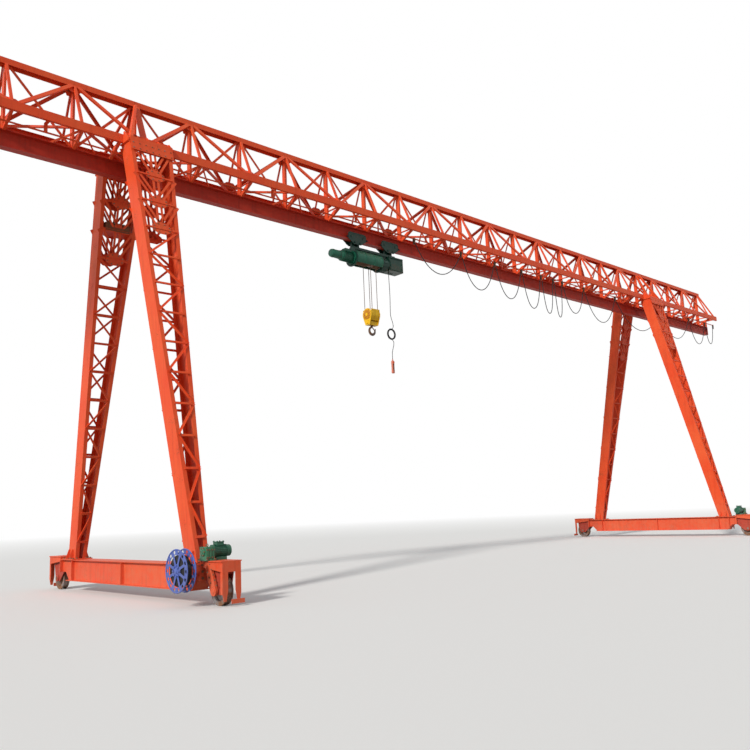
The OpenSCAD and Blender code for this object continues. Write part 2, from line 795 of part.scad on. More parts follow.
module travel_reducers() {
    x1 = -60;
    case_x = -axle_half - 10;
    case_t = 50;
    down = drive_z + yoke_top - wheel_r;
    green_paint()
        for (sx = [-1, 1])
            at_drive(sx) {
                span_box([-240, -120, 0], [x1, 120, drive_z + 90]);
                for (x = [-210, -150, -90])
                    span_box([x - 6, -132, 0], [x + 6, 132, drive_z + 60]);
                translate([-240, 0, drive_z]) rotate([0, 90, 0]) cylinder(r = 80, h = 20, center = true, $fn = 40);
                translate([case_x - case_t / 2, 0, drive_z]) along_x(case_t)
                    difference() {
                        union() {
                            bar2([0, -60], [-260, -down], 170);
                            translate([-260, -down]) circle(r = 95, $fn = 40);
                        }
                        translate([-bay / 2, 1 - drive_z]) square(bay);
                    }
            }
}

// Bearing plate, arm and slip-ring housing that hold the cable reel beside the front yoke
module reel_stand() {
    plate_t = 20;
    arm = 90;
    housing = 150;
    web_x = -span / 2 - base_box_w / 2;
    hub_y = reel_y;
    arm_y = -base_half_l + 140;
    red_paint()
        difference() {
            union() {
                span_box([reel_plate_x - plate_t, hub_y - 90, reel_z - 160], [reel_plate_x, arm_y + arm, reel_z + 90]);
                span_box([reel_plate_x, arm_y, reel_z - 150], [web_x, arm_y + arm, reel_z - 150 + arm]);
                translate([reel_plate_x, hub_y, reel_z]) rotate([0, 90, 0])
                    cylinder(r = housing / 2, h = housing, $fn = 40);
            }
            translate([reel_plate_x - plate_t - 1, hub_y, reel_z]) rotate([0, 90, 0])
                cylinder(r = reel_shaft_r + axle_gap, h = plate_t + 61, $fn = 40);
        }
}

// Two spoked rims on a hub, turning on a shaft in the bearing plate
module cable_reel() {
    hub_r = 70;
    shaft_l = reel_plate_gap + 50;
    color("steelblue")
        translate([reel_x, reel_y, reel_z]) rotate([0, 90, 0]) {
            cylinder(r = hub_r, h = reel_w + 40, center = true, $fn = 48);
            cylinder(r = reel_shaft_r, h = reel_w / 2 + shaft_l, $fn = 40);
            for (s = [-1, 1])
                translate([0, 0, s * reel_w / 2]) {
                    rotate_extrude($fn = 64) translate([reel_r - reel_bar_r, 0]) circle(r = reel_bar_r, $fn = 16);
                    for (i = [0 : reel_spokes - 1])
                        rotate(i * 360 / reel_spokes) rotate([0, 90, 0])
                            cylinder(r = reel_bar_r * 0.7, h = reel_r - reel_bar_r, $fn = 12);
                }
        }
}

// Cable wound in the reel, between the spokes
module reel_cable_pack() {
    w = reel_w / 2 - reel_bar_r - seat;
    color("black")
        translate([reel_x, reel_y, reel_z]) rotate([0, 90, 0])
        rotate_extrude($fn = 64)
        polygon([[70 + seat, -w], [reel_pack_r - 20, -w], [reel_pack_r, 20 - w], [reel_pack_r, w - 20],
            [reel_pack_r - 20, w], [70 + seat, w]]);
}

// Level shelf between the chords of the left back leg
module resistor_shelf() {
    z0 = 0;
    z1 = leg_len;
    in0 = leg_outer(z0) - leg_wall - seat;
    in1 = leg_outer(z1) - leg_wall - seat;
    red_paint()
        at_leg(-1, 1)
        intersection() {
            lean_in() along_y(leg_depth - 2 * leg_wall) polygon([[-in0, z0], [in0, z0], [in1, z1], [-in1, z1]]);
            span_box([-bay, -big, shelf_z], [bay, big, shelf_z + shelf_t]);
        }
}

module resistor_box() {
    y = leg_foot_y - (shelf_z - leg_z0) * tan(leg_lean);
    color("saddlebrown")
        translate([-span / 2, y, shelf_z + shelf_t]) {
            span_box([-300, -125, 0], [300, 75, 170]);
            for (x = [-200 : 100 : 200])
                span_box([x - 25, -110, 170], [x + 25, 60, 185]);
        }
}

// Festoon

module festoon_track() {
    half = girder_half + side_chord_past - end_frame_t;
    w = festoon_bar / 2;
    red_paint() {
        span_box([-half, -festoon_y - w, festoon_z], [half, -festoon_y + w, festoon_z + festoon_bar]);
        for (k = [-half_bays : 2 : half_bays - 2]) {
            x = (k + 0.5) * bay;
            span_box([x - 40, -side_chord_y + 25, side_chord_z - 10], [x + 40, -festoon_y, side_chord_z]);
            span_box([x - 40, -festoon_y - 5, festoon_z + festoon_bar], [x + 40, -festoon_y + 5, side_chord_z]);
        }
    }
}

module festoon_carriers() {
    w = festoon_bar / 2 + 1;
    color("dimgray")
        for (x = carrier_x)
            translate([x, -festoon_y, festoon_z]) {
                span_box([-carrier_l / 2, -w - 6, -carrier_h], [carrier_l / 2, -w, festoon_bar + 10]);
                span_box([-carrier_l / 2, -w, -carrier_h], [carrier_l / 2, w + 6, -seat]);
            }
}

// One loop of the festoon as a parabola between two carriers
function loop_points(i) = [for (j = [0 : loop_steps - 1]) let (f = j / loop_steps, l = carrier_x[i + 1] - carrier_x[i])
    [carrier_x[i] + f * l, -festoon_y, loop_top - 4 * (loop_drop[i] - 100) * f * (1 - f)]];

module festoon_cable() {
    n = len(carrier_x);
    color("black")
        tube([for (i = [0 : n - 2]) each loop_points(i), [carrier_x[n - 1], -festoon_y, loop_top]], festoon_cable_r);
}

// Hoist

module at_hoist() {
    translate([hoist_x, 0, 0]) children();
}

module trolley_plates() {
    low = beam_z - 130;
    high = trolley_wheel_z + trolley_wheel_r + 50;
    half = trolley_l / 2;
    color("darkgreen")
        at_hoist() for (t = [trolley_left_x, trolley_right_x]) translate([t, 0, 0]) {
            for (s = [-1, 1])
                translate([0, s * (trolley_plate_y + trolley_plate_t / 2), 0]) along_y(trolley_plate_t)
                    polygon([[-half, beam_z + 20], [-half, high - 60], [60 - half, high], [half - 60, high],
                        [half, high - 60], [half, beam_z + 20], [140, low], [-140, low]]);
            for (s = [-1, 1])
                translate([s * 100, 0, beam_z - 70]) rotate([90, 0, 0])
                    cylinder(r = 28, h = 2 * trolley_plate_y + 10, center = true, $fn = 32);
        }
}

// Flanged wheels that run on the lower flange, each on a stub in its side plate
module trolley_wheels() {
    w = 50;
    lip = trolley_wheel_r + 12;
    color("dimgray")
        at_hoist()
        for (t = [trolley_left_x, trolley_right_x], x = [-1, 1], s = [0, 1])
            translate([t + x * trolley_l * 0.32, 0, trolley_wheel_z]) mirror([0, s, 0]) rotate([-90, 0, 0])
                translate([0, 0, beam_w / 2 - w])
                rotate_extrude($fn = 48)
                polygon([[0, 0], [trolley_wheel_r, 0], [trolley_wheel_r, w + 2], [lip, w + 3], [lip, w + 12],
                    [25, w + 12], [25, w + 18], [0, w + 18]]);
}

// Travel motor on the back side plate of the left trolley
module trolley_motor() {
    y0 = trolley_plate_y + trolley_plate_t;
    color("darkgreen")
        at_hoist() translate([trolley_left_x, 0, trolley_wheel_z]) {
            span_box([-130, y0, -70], [130, y0 + 90, 80]);
            translate([60, y0 + 90, 0]) rotate([-90, 0, 0]) cylinder(r = 65, h = 190, $fn = 40);
        }
}

// Beam under the trolleys with its hangers and the end plates that hold the drum
module hoist_frame() {
    half = 90;
    z1 = frame_top_z;
    z0 = z1 - frame_beam_h;
    pin_z = beam_z - 70;
    color("darkgreen")
        at_hoist() {
            span_box([drum_x0 - end_plate_t, -half, z0], [trolley_right_x + 230, half, z1]);
            for (t = [trolley_left_x, trolley_right_x], s = [-1, 1])
                difference() {
                    translate([t + s * 100, 0, 0])
                        span_box([-50, -40, z1], [50, 40, pin_z + 48]);
                    translate([t + s * 100, 0, pin_z]) rotate([90, 0, 0])
                        cylinder(r = 28 + seat, h = beam_w, center = true, $fn = 32);
                }
            for (x = [drum_x0 - end_plate_t, drum_x1])
                difference() {
                    union() {
                        span_box([x, -150, drum_z], [x + end_plate_t, 150, z0]);
                        translate([x, 0, drum_z]) rotate([0, 90, 0])
                            cylinder(r = shell_r + 12, h = end_plate_t, $fn = 64);
                    }
                    translate([x - 1, 0, drum_z]) rotate([0, 90, 0])
                        cylinder(r = 45 + seat, h = end_plate_t + 2, $fn = 40);
                }
        }
}

// Grooved drum on its shaft
module rope_drum() {
    lip = 16;
    color("gray")
        at_hoist() translate([drum_x0, 0, drum_z]) rotate([0, 90, 0])
        rotate_extrude($fn = 72)
        polygon([[0, 0], [drum_r + 30, 0], [drum_r + 30, lip], [drum_r, lip], [drum_r, drum_l - lip],
            [drum_r + 30, drum_l - lip], [drum_r + 30, drum_l], [0, drum_l]]);
}

// Round shell over the drum, open underneath where the ropes leave it
module drum_shell() {
    cut = 1.2 * shell_r;
    green_paint()
        at_hoist() translate([drum_x0, 0, drum_z])
        difference() {
            rotate([0, 90, 0]) cylinder(r = shell_r, h = drum_l, $fn = 72);
            translate([-1, 0, 0]) rotate([0, 90, 0]) cylinder(r = shell_r - shell_t, h = drum_l + 2, $fn = 72);
            span_box([-1, -fall_y - 40, -cut], [drum_l + 1, fall_y + 40, 0]);
        }
}

module hoist_motor() {
    x = drum_x0 - end_plate_t;
    tail_l = 380;
    green_paint()
        at_hoist() translate([x, 0, drum_z]) rotate([0, -90, 0])
        rotate_extrude($fn = 64)
        polygon([[0, 0], [motor_r + 35, 0], [motor_r + 35, 25], [motor_r, 30], [motor_r, motor_l - 60],
            [motor_r - 20, motor_l], [130, motor_l + 10], [120, motor_l + tail_l - 40], [90, motor_l + tail_l],
            [0, motor_l + tail_l]]);
}

module hoist_gearbox() {
    x = drum_x1 + end_plate_t;
    color("darkgreen")
        at_hoist() translate([x, 0, drum_z]) {
            rotate([0, 90, 0]) rotate_extrude($fn = 64)
                polygon([[0, 0], [250, 0], [250, 30], [225, 45], [225, gearbox_l - 60], [195, gearbox_l - 15],
                    [195, gearbox_l], [0, gearbox_l]]);
            span_box([40, -70, 0], [gearbox_l - 40, 70, beam_room]);
        }
}

module hoist_control_box() {
    color("darkgreen")
        at_hoist() {
            span_box([control_x0, -190, control_z0], [control_x1, 190, frame_top_z - frame_beam_h]);
            span_box([control_x0 + 40, -206, control_z0 + 30], [control_x1 - 40, -190, control_z0 + 340]);
            translate([pendant_x, pendant_y, control_z0]) rotate([180, 0, 0])
                cylinder(r1 = 22, r2 = 14, h = 60, $fn = 24);
        }
}

module hoist_ropes() {
    color("dimgray")
        at_hoist()
        for (x = [-1, 1], y = [-1, 1])
            translate([fall_x + x * sheave_pitch / 2, y * fall_y, block_z])
                cylinder(r = rope_r, h = drum_z - block_z, $fn = 16);
}

// Hook block

module at_block() {
    translate([hoist_x + fall_x, 0, block_z]) children();
}

// Side profile of a cheek plate: round over the sheaves, drawn in to the trunnion
module cheek_profile() {
    low = trunnion_z - trunnion_h / 2 - block_z;
    circle(r = block_r, $fn = 64);
    polygon([[-block_r * 0.96, -block_r * 0.28], [-90, low], [90, low], [block_r * 0.96, -block_r * 0.28]]);
}

module hook_block() {
    low = trunnion_z - trunnion_h / 2 - block_z;
    guard_t = 8;
    color("gold")
        at_block()
        difference() {
            union() {
                for (s = [-1, 1])
                    translate([s * (cheek_x + cheek_t / 2), 0, 0]) along_x(cheek_t) cheek_profile();
                span_box([-cheek_x, -85, low], [cheek_x, 85, low + trunnion_h]);
                difference() {
                    along_x(2 * cheek_x) circle(r = block_r - 2, $fn = 64);
                    along_x(2 * cheek_x + 2) circle(r = block_r - 2 - guard_t, $fn = 64);
                    span_box([-big, -big, -block_r * 0.5], [big, big, big]);
                }
            }
            rotate([0, 90, 0]) cylinder(r = 35 + seat, h = 3 * cheek_x, center = true, $fn = 40);
            translate([0, 0, low - 1]) cylinder(r = shank_r + axle_gap, h = trunnion_h + 2, $fn = 48);
            translate([0, 0, low + trunnion_h]) cylinder(r = 75, h = 80, $fn = 48);
        }
}

// Two grooved sheaves on their axle
module hook_sheaves() {
    w = 32;
    g = rope_r + 3;
    color("dimgray")
        at_block() {
            rotate([0, 90, 0]) cylinder(r = 35, h = 2 * (cheek_x + cheek_t + 12), center = true, $fn = 40);
            for (s = [-1, 1])
                translate([s * sheave_pitch / 2, 0, 0]) rotate([0, 90, 0]) rotate_extrude($fn = 72)
                    polygon([[0, -w], [60, -w], [62, -14], [sheave_r - 30, -14], [sheave_r - 22, -w + 4],
                        [sheave_r + 14, -w + 4], [sheave_r, -g], [sheave_r, g],
                        [sheave_r + 14, w - 4], [sheave_r - 22, w - 4], [sheave_r - 30, 14], [62, 14], [60, w], [0, w]]);
        }
}

// Forged hook: shank with its nut, a round bowl and a tapered point
module hook() {
    top = trunnion_z + trunnion_h / 2;
    bend_r = hook_throat_r + hook_bar_r;
    nut_h = 50;
    color("dimgray")
        translate([hoist_x + fall_x, 0, 0]) {
            translate([0, 0, top + seat]) cylinder(r = 56, h = nut_h, $fn = 6);
            translate([0, 0, bowl_z + 60]) cylinder(r = shank_r, h = top + nut_h - bowl_z - 60, $fn = 48);
            translate([0, 0, bowl_z + hook_throat_r + hook_bar_r * 0.2])
                cylinder(r1 = hook_bar_r + 6, r2 = shank_r, h = 40, $fn = 48);
            translate([0, 0, bowl_z]) rotate([90, 0, 0]) {
                rotate([0, 0, 100]) rotate_extrude(angle = 255, $fn = 64)
                    translate([bend_r, 0]) circle(r = hook_bar_r, $fn = 32);
                rotate([0, 0, 355]) translate([bend_r, 0, 0]) sphere(r = hook_bar_r, $fn = 32);
                rotate([0, 0, 355]) translate([bend_r, 0, 0]) rotate([-90, 0, -8])
                    cylinder(r1 = hook_bar_r, r2 = 14, h = 70, $fn = 32);
                rotate([0, 0, 100]) translate([bend_r, 0, 0]) sphere(r = hook_bar_r, $fn = 32);
            }
        }
}

// Pendant, hanging from the control box

// A hanging stretch between two heights that bows out sideways by b
function hang(z0, z1, b, n) = [for (i = [0 : n]) let (f = i / n)
    [pendant_x + b * pow(sin(180 * f), 2), pendant_y, z0 + (z1 - z0) * f]];

module pendant_cable() {
    color("black")
        at_hoist() {
            tube(hang(control_z0 - 60 - seat, coil_top, pendant_bend, 8), pendant_cable_r);
            tube(hang(coil_z - coil_r - coil_bundle_r, pendant_top + seat, -pendant_bend, 6), pendant_cable_r);
        }
}

module pendant_coil() {
    color("black")
        at_hoist() translate([pendant_x, pendant_y, coil_z]) rotate([90, 0, 0])
        rotate_extrude($fn = 48) translate([coil_r, 0]) circle(r = coil_bundle_r, $fn = 16);
}

module pendant_station() {
    w = 90;
    d = 70;
    color("indianred")
        at_hoist() translate([pendant_x, pendant_y, pendant_top]) {
            translate([0, 0, -60]) cylinder(r1 = 26, r2 = 13, h = 60, $fn = 24);
            span_box([-w / 2, -d / 2, -pendant_l], [w / 2, d / 2, -60]);
        }
}

runway_beam();
top_chord();
side_chord_front();
side_chord_back();
web_lattice_front();
web_lattice_back();
centre_lattice();
flat_lattice();
beam_hangers();
girder_end_frames();
leg_heads();
at_leg(-1, -1) leg_chords();  // leg_left_front
at_leg(-1, 1) leg_chords();  // leg_left_back
at_leg(1, -1) leg_chords();  // leg_right_front
at_leg(1, 1) leg_chords();  // leg_right_back
leg_lattice(-1);  // leg_lattice_left
leg_lattice(1);  // leg_lattice_right
leg_feet();
base_beam(-1);  // base_beam_left
base_beam(1);  // base_beam_right
wheel_yokes();
travel_motors();
travel_reducers();
reel_stand();
resistor_shelf();
resistor_box();
festoon_track();
festoon_carriers();
festoon_cable();
travel_wheel(-1, -1);  // wheel_left_front
travel_wheel(-1, 1);  // wheel_left_back
travel_wheel(1, -1);  // wheel_right_front
travel_wheel(1, 1);  // wheel_right_back
cable_reel();
reel_cable_pack();
trolley_plates();
trolley_wheels();
trolley_motor();
hoist_frame();
rope_drum();
drum_shell();
hoist_motor();
hoist_gearbox();
hoist_control_box();
hoist_ropes();
hook_block();
hook_sheaves();
hook();
pendant_cable();
pendant_coil();
pendant_station();
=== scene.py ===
# %% [markdown]
# # Dressing a truss gantry crane
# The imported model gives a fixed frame: every solid of the crane, in metres, at its real place. This file
# keeps the solids whose shape is already right, gives them weathered paint, and makes finer pieces for the
# rest: rolled sections instead of plain bars, a cable that hangs in loops, stranded ropes and a forged hook.

import bpy
import numpy as np
from mathutils import Matrix, Vector


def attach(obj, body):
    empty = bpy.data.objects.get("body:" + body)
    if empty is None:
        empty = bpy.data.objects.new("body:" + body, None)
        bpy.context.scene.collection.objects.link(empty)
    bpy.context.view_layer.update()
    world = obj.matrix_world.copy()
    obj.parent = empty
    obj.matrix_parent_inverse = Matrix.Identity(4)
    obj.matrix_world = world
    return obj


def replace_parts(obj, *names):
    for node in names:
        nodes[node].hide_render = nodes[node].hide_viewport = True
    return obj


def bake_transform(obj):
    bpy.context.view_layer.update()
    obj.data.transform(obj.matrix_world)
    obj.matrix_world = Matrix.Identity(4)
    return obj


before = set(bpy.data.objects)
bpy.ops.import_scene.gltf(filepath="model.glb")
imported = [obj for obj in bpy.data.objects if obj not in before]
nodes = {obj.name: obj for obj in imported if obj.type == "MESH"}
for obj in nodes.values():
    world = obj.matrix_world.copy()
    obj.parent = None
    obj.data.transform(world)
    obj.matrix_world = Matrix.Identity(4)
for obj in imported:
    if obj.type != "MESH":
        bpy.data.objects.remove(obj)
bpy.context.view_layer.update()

# %% [markdown]
# ## Camera
# The photograph is taken from eye height in front of the left support, looking up along the girder.
# The eye point, the heading, the upward tilt and the small roll were solved from some seventy readings
# of the picture, so a camera built from those four values shows the crane just as the photograph does.

# %% Camera
EYE = np.array([-20.189, -16.688, 1.619])
HEADING = 0.7597
TILT = 0.1694
ROLL = -0.0439
LENS = 37.84


def look(heading, tilt, roll):
    """Axes of a camera: forward points along the heading (from +Y towards +X) and up by the tilt; right is
    level and across it; both right and up then turn by the roll about forward."""
    forward = np.array([np.sin(heading) * np.cos(tilt), np.cos(heading) * np.cos(tilt), np.sin(tilt)])
    right = np.array([np.cos(heading), -np.sin(heading), 0.0])
    up = np.cross(right, forward)
    return np.cos(roll) * right + np.sin(roll) * up, np.cos(roll) * up - np.sin(roll) * right, forward


def placed(name, data):
    """A new object of the scene, made from a camera, a lamp or a mesh."""
    made = bpy.data.objects.new(name, data)
    bpy.context.scene.collection.objects.link(made)
    return made


eye_data = bpy.data.cameras.new("eye")
eye_data.lens = LENS
eye_data.sensor_width = 36.0
eye_data.clip_end = 600.0
eye = placed("eye", eye_data)
right, up, forward = look(HEADING, TILT, ROLL)
eye.matrix_world = Matrix([[right[i], up[i], -forward[i], EYE[i]] for i in range(3)] + [[0, 0, 0, 1]])
bpy.context.scene.camera = eye
print("camera:", EYE, "lens", LENS)

# %% [markdown]
# ## Mesh helpers
# A solid is three arrays: its corners, the corner numbers of its faces one
# after another, and how many corners each face has. Whole sets of bars,
# bolts or rings are worked out at once with numpy and joined into one mesh.

# %% Solids as arrays
X, Y, Z = np.eye(3)


def unit(v):
    """Each vector divided by its own length."""
    v = np.asarray(v, float)
    return v / np.linalg.norm(v, axis=-1, keepdims=True)


def xyz(x, y, z):
    """Points from three coordinates, any of which may be one number for all of them."""
    return np.stack(np.broadcast_arrays(*(np.asarray(v, float) for v in (x, y, z))), -1)


def polar(radius, a):
    """The points (radius cos a, radius sin a) of a plane."""
    return np.stack([radius * np.cos(a), radius * np.sin(a)], -1)


def full_turn(count):
    """Evenly spaced angles of one whole turn."""
    return np.linspace(0, 2 * np.pi, count, endpoint=False)


def round_x(radius, a):
    """Points of a circle round the X axis, at the angles a."""
    return xyz(0, radius * np.cos(a), radius * np.sin(a))


def ring_of(count, radius, turn=0.0):
    """Evenly spaced points of a circle round the X axis; turn shifts them by a share of their spacing."""
    return round_x(radius, 2 * np.pi * (np.arange(count) + turn) / count)


def joined(solids):
    """Many solids as one: each solid's corner numbers are raised by the corners before it."""
    before = np.cumsum([0] + [len(s[0]) for s in solids[:-1]])
    return (
        np.concatenate([s[0] for s in solids]),
        np.concatenate([s[1] + n for s, n in zip(solids, before)]),
        np.concatenate([s[2] for s in solids]),
    )


def mirrored(solid, axis):
    """A solid's reflection: one coordinate changes sign, and its faces are read backwards to face out."""
    flip = np.ones(3)
    flip[axis] = -1
    return solid[0] * flip, solid[1][::-1], solid[2][::-1]


def moved(solid, by):
    """A solid shifted by a vector."""
    return solid[0] + np.asarray(by, float), solid[1], solid[2]


def at_corners(solid):
    """A solid of the left front corner and its reflections at the other three."""
    twice = joined([solid, mirrored(solid, 1)])
    return joined([twice, mirrored(twice, 0)])


def bars(outline, a, b, up):
    """Straight bars of one section. A corner is end + u * side + v * lift for each (u, v) of the outline,
    where side is up x along and lift is along x side; the outline runs counter-clockwise."""
    outline = np.asarray(outline, float)
    a, b = np.broadcast_arrays(np.atleast_2d(np.asarray(a, float)), np.atleast_2d(np.asarray(b, float)))
    along = unit(b - a)
    side = unit(np.cross(np.broadcast_to(up, along.shape), along))
    lift = np.cross(along, side)
    section = outline[None, :, 0:1] * side[:, None] + outline[None, :, 1:2] * lift[:, None]
    corners = np.stack([a[:, None] + section, b[:, None] + section], axis=1)
    k = len(outline)
    i = np.arange(k)
    walls = np.stack([i, (i + 1) % k, (i + 1) % k + k, i + k], axis=1).ravel()
    loops = np.concatenate([walls, i[::-1], i + k])
    n = len(a)
    return (
        corners.reshape(-1, 3),
        (loops + 2 * k * np.arange(n)[:, None]).ravel(),
        np.tile([4] * k + [k, k], n),
    )


def skin(points, ring=False):
    """A surface through a grid of points: rows follow the length and columns run round it. Its ends are
    closed by one face each, or joined to each other when ring is true."""
    n, m = points.shape[:2]
    i, j = np.meshgrid(np.arange(n if ring else n - 1), np.arange(m), indexing="ij")
    j1 = (j + 1) % m
    i1 = (i + 1) % n
    walls = np.stack([i * m + j, i * m + j1, i1 * m + j1, i1 * m + j], axis=-1).ravel()
    sizes = np.full(i.size, 4)
    if not ring:
        walls = np.concatenate([walls, np.arange(m)[::-1], np.arange(m) + (n - 1) * m])
        sizes = np.append(sizes, [m, m])
    return points.reshape(-1, 3), walls, sizes


def turned(profile, centre=(0, 0, 0), axis=Z, corners=32, ring=False):
    """A turned part: a profile point (radius r, height h) becomes centre + h * axis + r * (cos a, sin a)."""
    profile = np.asarray(profile, float)[:, :, None, None]
    axis = unit(axis)
    side = unit(np.cross(axis, X if abs(axis[0]) < 0.9 else Y))
    lift = np.cross(axis, side)
    a = full_turn(corners)
    circle = np.cos(a)[:, None] * side + np.sin(a)[:, None] * lift
    return skin(np.asarray(centre) + profile[:, 1] * axis + profile[:, 0] * circle, ring)


def hoop(inner, outer, low, high):
    """The profile of a flat ring: radii from inner to outer, heights from low to high."""
    return [[inner, low], [outer, low], [outer, high], [inner, high]]


def bored(rim, hole_at, hole, x0, x1):
    """A plate across X with a round bore: a skin whose rows run round the (y, z) rim, with a partner on the
    bore for every point, and whose columns step from rim to bore, through the plate and back."""
    bore = hole_at + hole * unit(rim - hole_at)
    columns = [xyz(x, *edge.T) for x, edge in ((x0, rim), (x0, bore), (x1, bore), (x1, rim))]
    return skin(np.stack(columns, 1), ring=True)


def tube(path, radius, corners=8, up=Y, squeeze=1.0):
    """A round section carried along a path: each ring stands across the path's direction there. The radius
    is one for all, or one for each ring, or one for each of its corners; squeeze flattens it along up."""
    path = np.asarray(path, float)
    along = unit(np.gradient(path, axis=0))
    side = unit(np.cross(up, along))
    lift = np.cross(along, side)
    a = full_turn(corners)
    r = np.reshape(radius, np.shape(radius) + (1,) * (3 - np.ndim(radius)))
    circle = np.cos(a)[:, None] * side[:, None] + squeeze * np.sin(a)[:, None] * lift[:, None]
    return skin(path[:, None] + r * circle)


def scatter(solid, places, axis, up=None):
    """Copies of a small solid: its own z axis is laid along axis at every place."""
    places = np.atleast_2d(np.asarray(places, float))
    axis = unit(np.broadcast_to(axis, places.shape))
    if up is None:
        up = np.where(np.abs(axis[:, 2:3]) < 0.9, Z, X)
    side = unit(np.cross(up, axis))
    lift = np.cross(axis, side)
    spread = solid[0] @ np.stack([side, lift, axis], 1)
    n = len(places)
    return (
        (spread + places[:, None]).reshape(-1, 3),
        (solid[1] + len(solid[0]) * np.arange(n)[:, None]).ravel(),
        np.tile(solid[2], n),
    )


def box(low, high):
    """A block between two opposite corners."""
    low, high = np.asarray(low, float), np.asarray(high, float)
    w, h = (high - low)[:2] / 2
    middle = (low + high) / 2
    outline = [[-w, -h], [w, -h], [w, h], [-w, h]]
    return bars(outline, [middle[0], middle[1], low[2]], [middle[0], middle[1], high[2]], Y)


# %% [markdown]
# ## Rolled sections
# Steel lattices are made of angles and channels. A section is drawn once as an outline, wide
# along its first axis, and a bar of it is that outline carried from one node to the next.

# %% Sections
def angle(w, h, t):
    """An L: a flange w wide and t thick, with a leg that rises to h at its left edge."""
    return [[-w / 2, -h / 2], [w / 2, -h / 2], [w / 2, t - h / 2], [t - w / 2, t - h / 2], [t - w / 2, h / 2],
            [-w / 2, h / 2]]


def channel(w, h, t):
    """A U: a web w wide at the bottom and a flange h high at each edge."""
    return [[-w / 2, -h / 2], [w / 2, -h / 2], [w / 2, h / 2], [w / 2 - t, h / 2], [w / 2 - t, t - h / 2],
            [t - w / 2, t - h / 2], [t - w / 2, h / 2], [-w / 2, h / 2]]


def flat(w, h):
    """A plain rectangle."""
    return [[-w / 2, -h / 2], [w / 2, -h / 2], [w / 2, h / 2], [-w / 2, h / 2]]


def polygon(corners, r):
    """A regular polygon of radius r, with a flat side at the bottom when it has an even number of corners."""
    return polar(r, (np.arange(corners) + 0.5) * 2 * np.pi / corners)


BOLT = joined([
    bars(polygon(10, 0.0165), [0, 0, 0], [0, 0, 0.003], Y),
    bars(polygon(6, 0.014), [0, 0, 0.003], [0, 0, 0.013], Y),
])
BIG_BOLT = (BOLT[0] * 1.7, BOLT[1], BOLT[2])
print("bolt:", len(BOLT[0]), "corners")

# %% [markdown]
# ## Shared finishes
# Weather acts on the whole crane alike, so each kind of surface has one node group with its own amounts:
# one for paint, one for bare steel and one for rubber. A group is placed in every material of its kind.

# %% Node helpers
def add(tree, kind, inputs=None, **settings):
    """A shader node with its settings and inputs; an input that is a socket is linked."""
    made = tree.nodes.new("ShaderNode" + kind)
    for key, value in settings.items():
        setattr(made, key, value)
    for key, value in (inputs or {}).items():
        if isinstance(value, bpy.types.NodeSocket):
            tree.links.new(value, made.inputs[key])
        else:
            made.inputs[key].default_value = value
    return made


def maths(tree, operation, a, b):
    """One step of arithmetic."""
    return add(tree, "Math", {0: a, 1: b}, operation=operation).outputs[0]


def times(tree, a, b):
    """One value times another, as when an amount scales an effect."""
    return maths(tree, "MULTIPLY", a, b)


def plus(tree, a, b, share):
    """One value plus a share of another."""
    return maths(tree, "ADD", a, times(tree, b, share))


def ramp(tree, value, low, high, to_low=0.0, to_high=1.0):
    """A value rescaled from low..high, held between the two ends."""
    inputs = {0: value, 1: low, 2: high, 3: to_low, 4: to_high}
    return add(tree, "MapRange", inputs, clamp=True).outputs[0]


def blended(tree, factor, a, b):
    """A colour between a and b."""
    return add(tree, "Mix", {0: factor, 6: a, 7: b}, data_type="RGBA").outputs[2]


def patches(tree, place, scale, detail=3.0, roughness=0.55):
    """Cloudy noise from 0 to 1."""
    inputs = {"Vector": place, "Scale": scale, "Detail": detail, "Roughness": roughness}
    return add(tree, "TexNoise", inputs).outputs[0]


def finish_group(name, inputs, outputs):
    """An empty node group with named inputs and outputs; returns it and its input sockets."""
    tree = bpy.data.node_groups.new(name, "ShaderNodeTree")
    for label, value in inputs.items():
        kind = "NodeSocketColor" if isinstance(value, tuple) else "NodeSocketFloat"
        tree.interface.new_socket(label, in_out="INPUT", socket_type=kind).default_value = value
    for label, kind in outputs.items():
        tree.interface.new_socket(label, in_out="OUTPUT", socket_type="NodeSocket" + kind)
    return tree, tree.nodes.new("NodeGroupInput").outputs


def put_out(tree, **values):
    """Links values to a group's named outputs."""
    end = tree.nodes.new("NodeGroupOutput")
    for label, socket in values.items():
        tree.links.new(socket, end.inputs[label])


# %% [markdown]
# ## Weathered paint
# Paint bleaches in patches, rain leaves streaks, chips rust, and dust gathers low down and on level
# faces. A painted picture could show this, but noise needs no unwrapping and suits every piece.
# Each effect lies over the one before it, and all but the streaks make the surface rougher too.

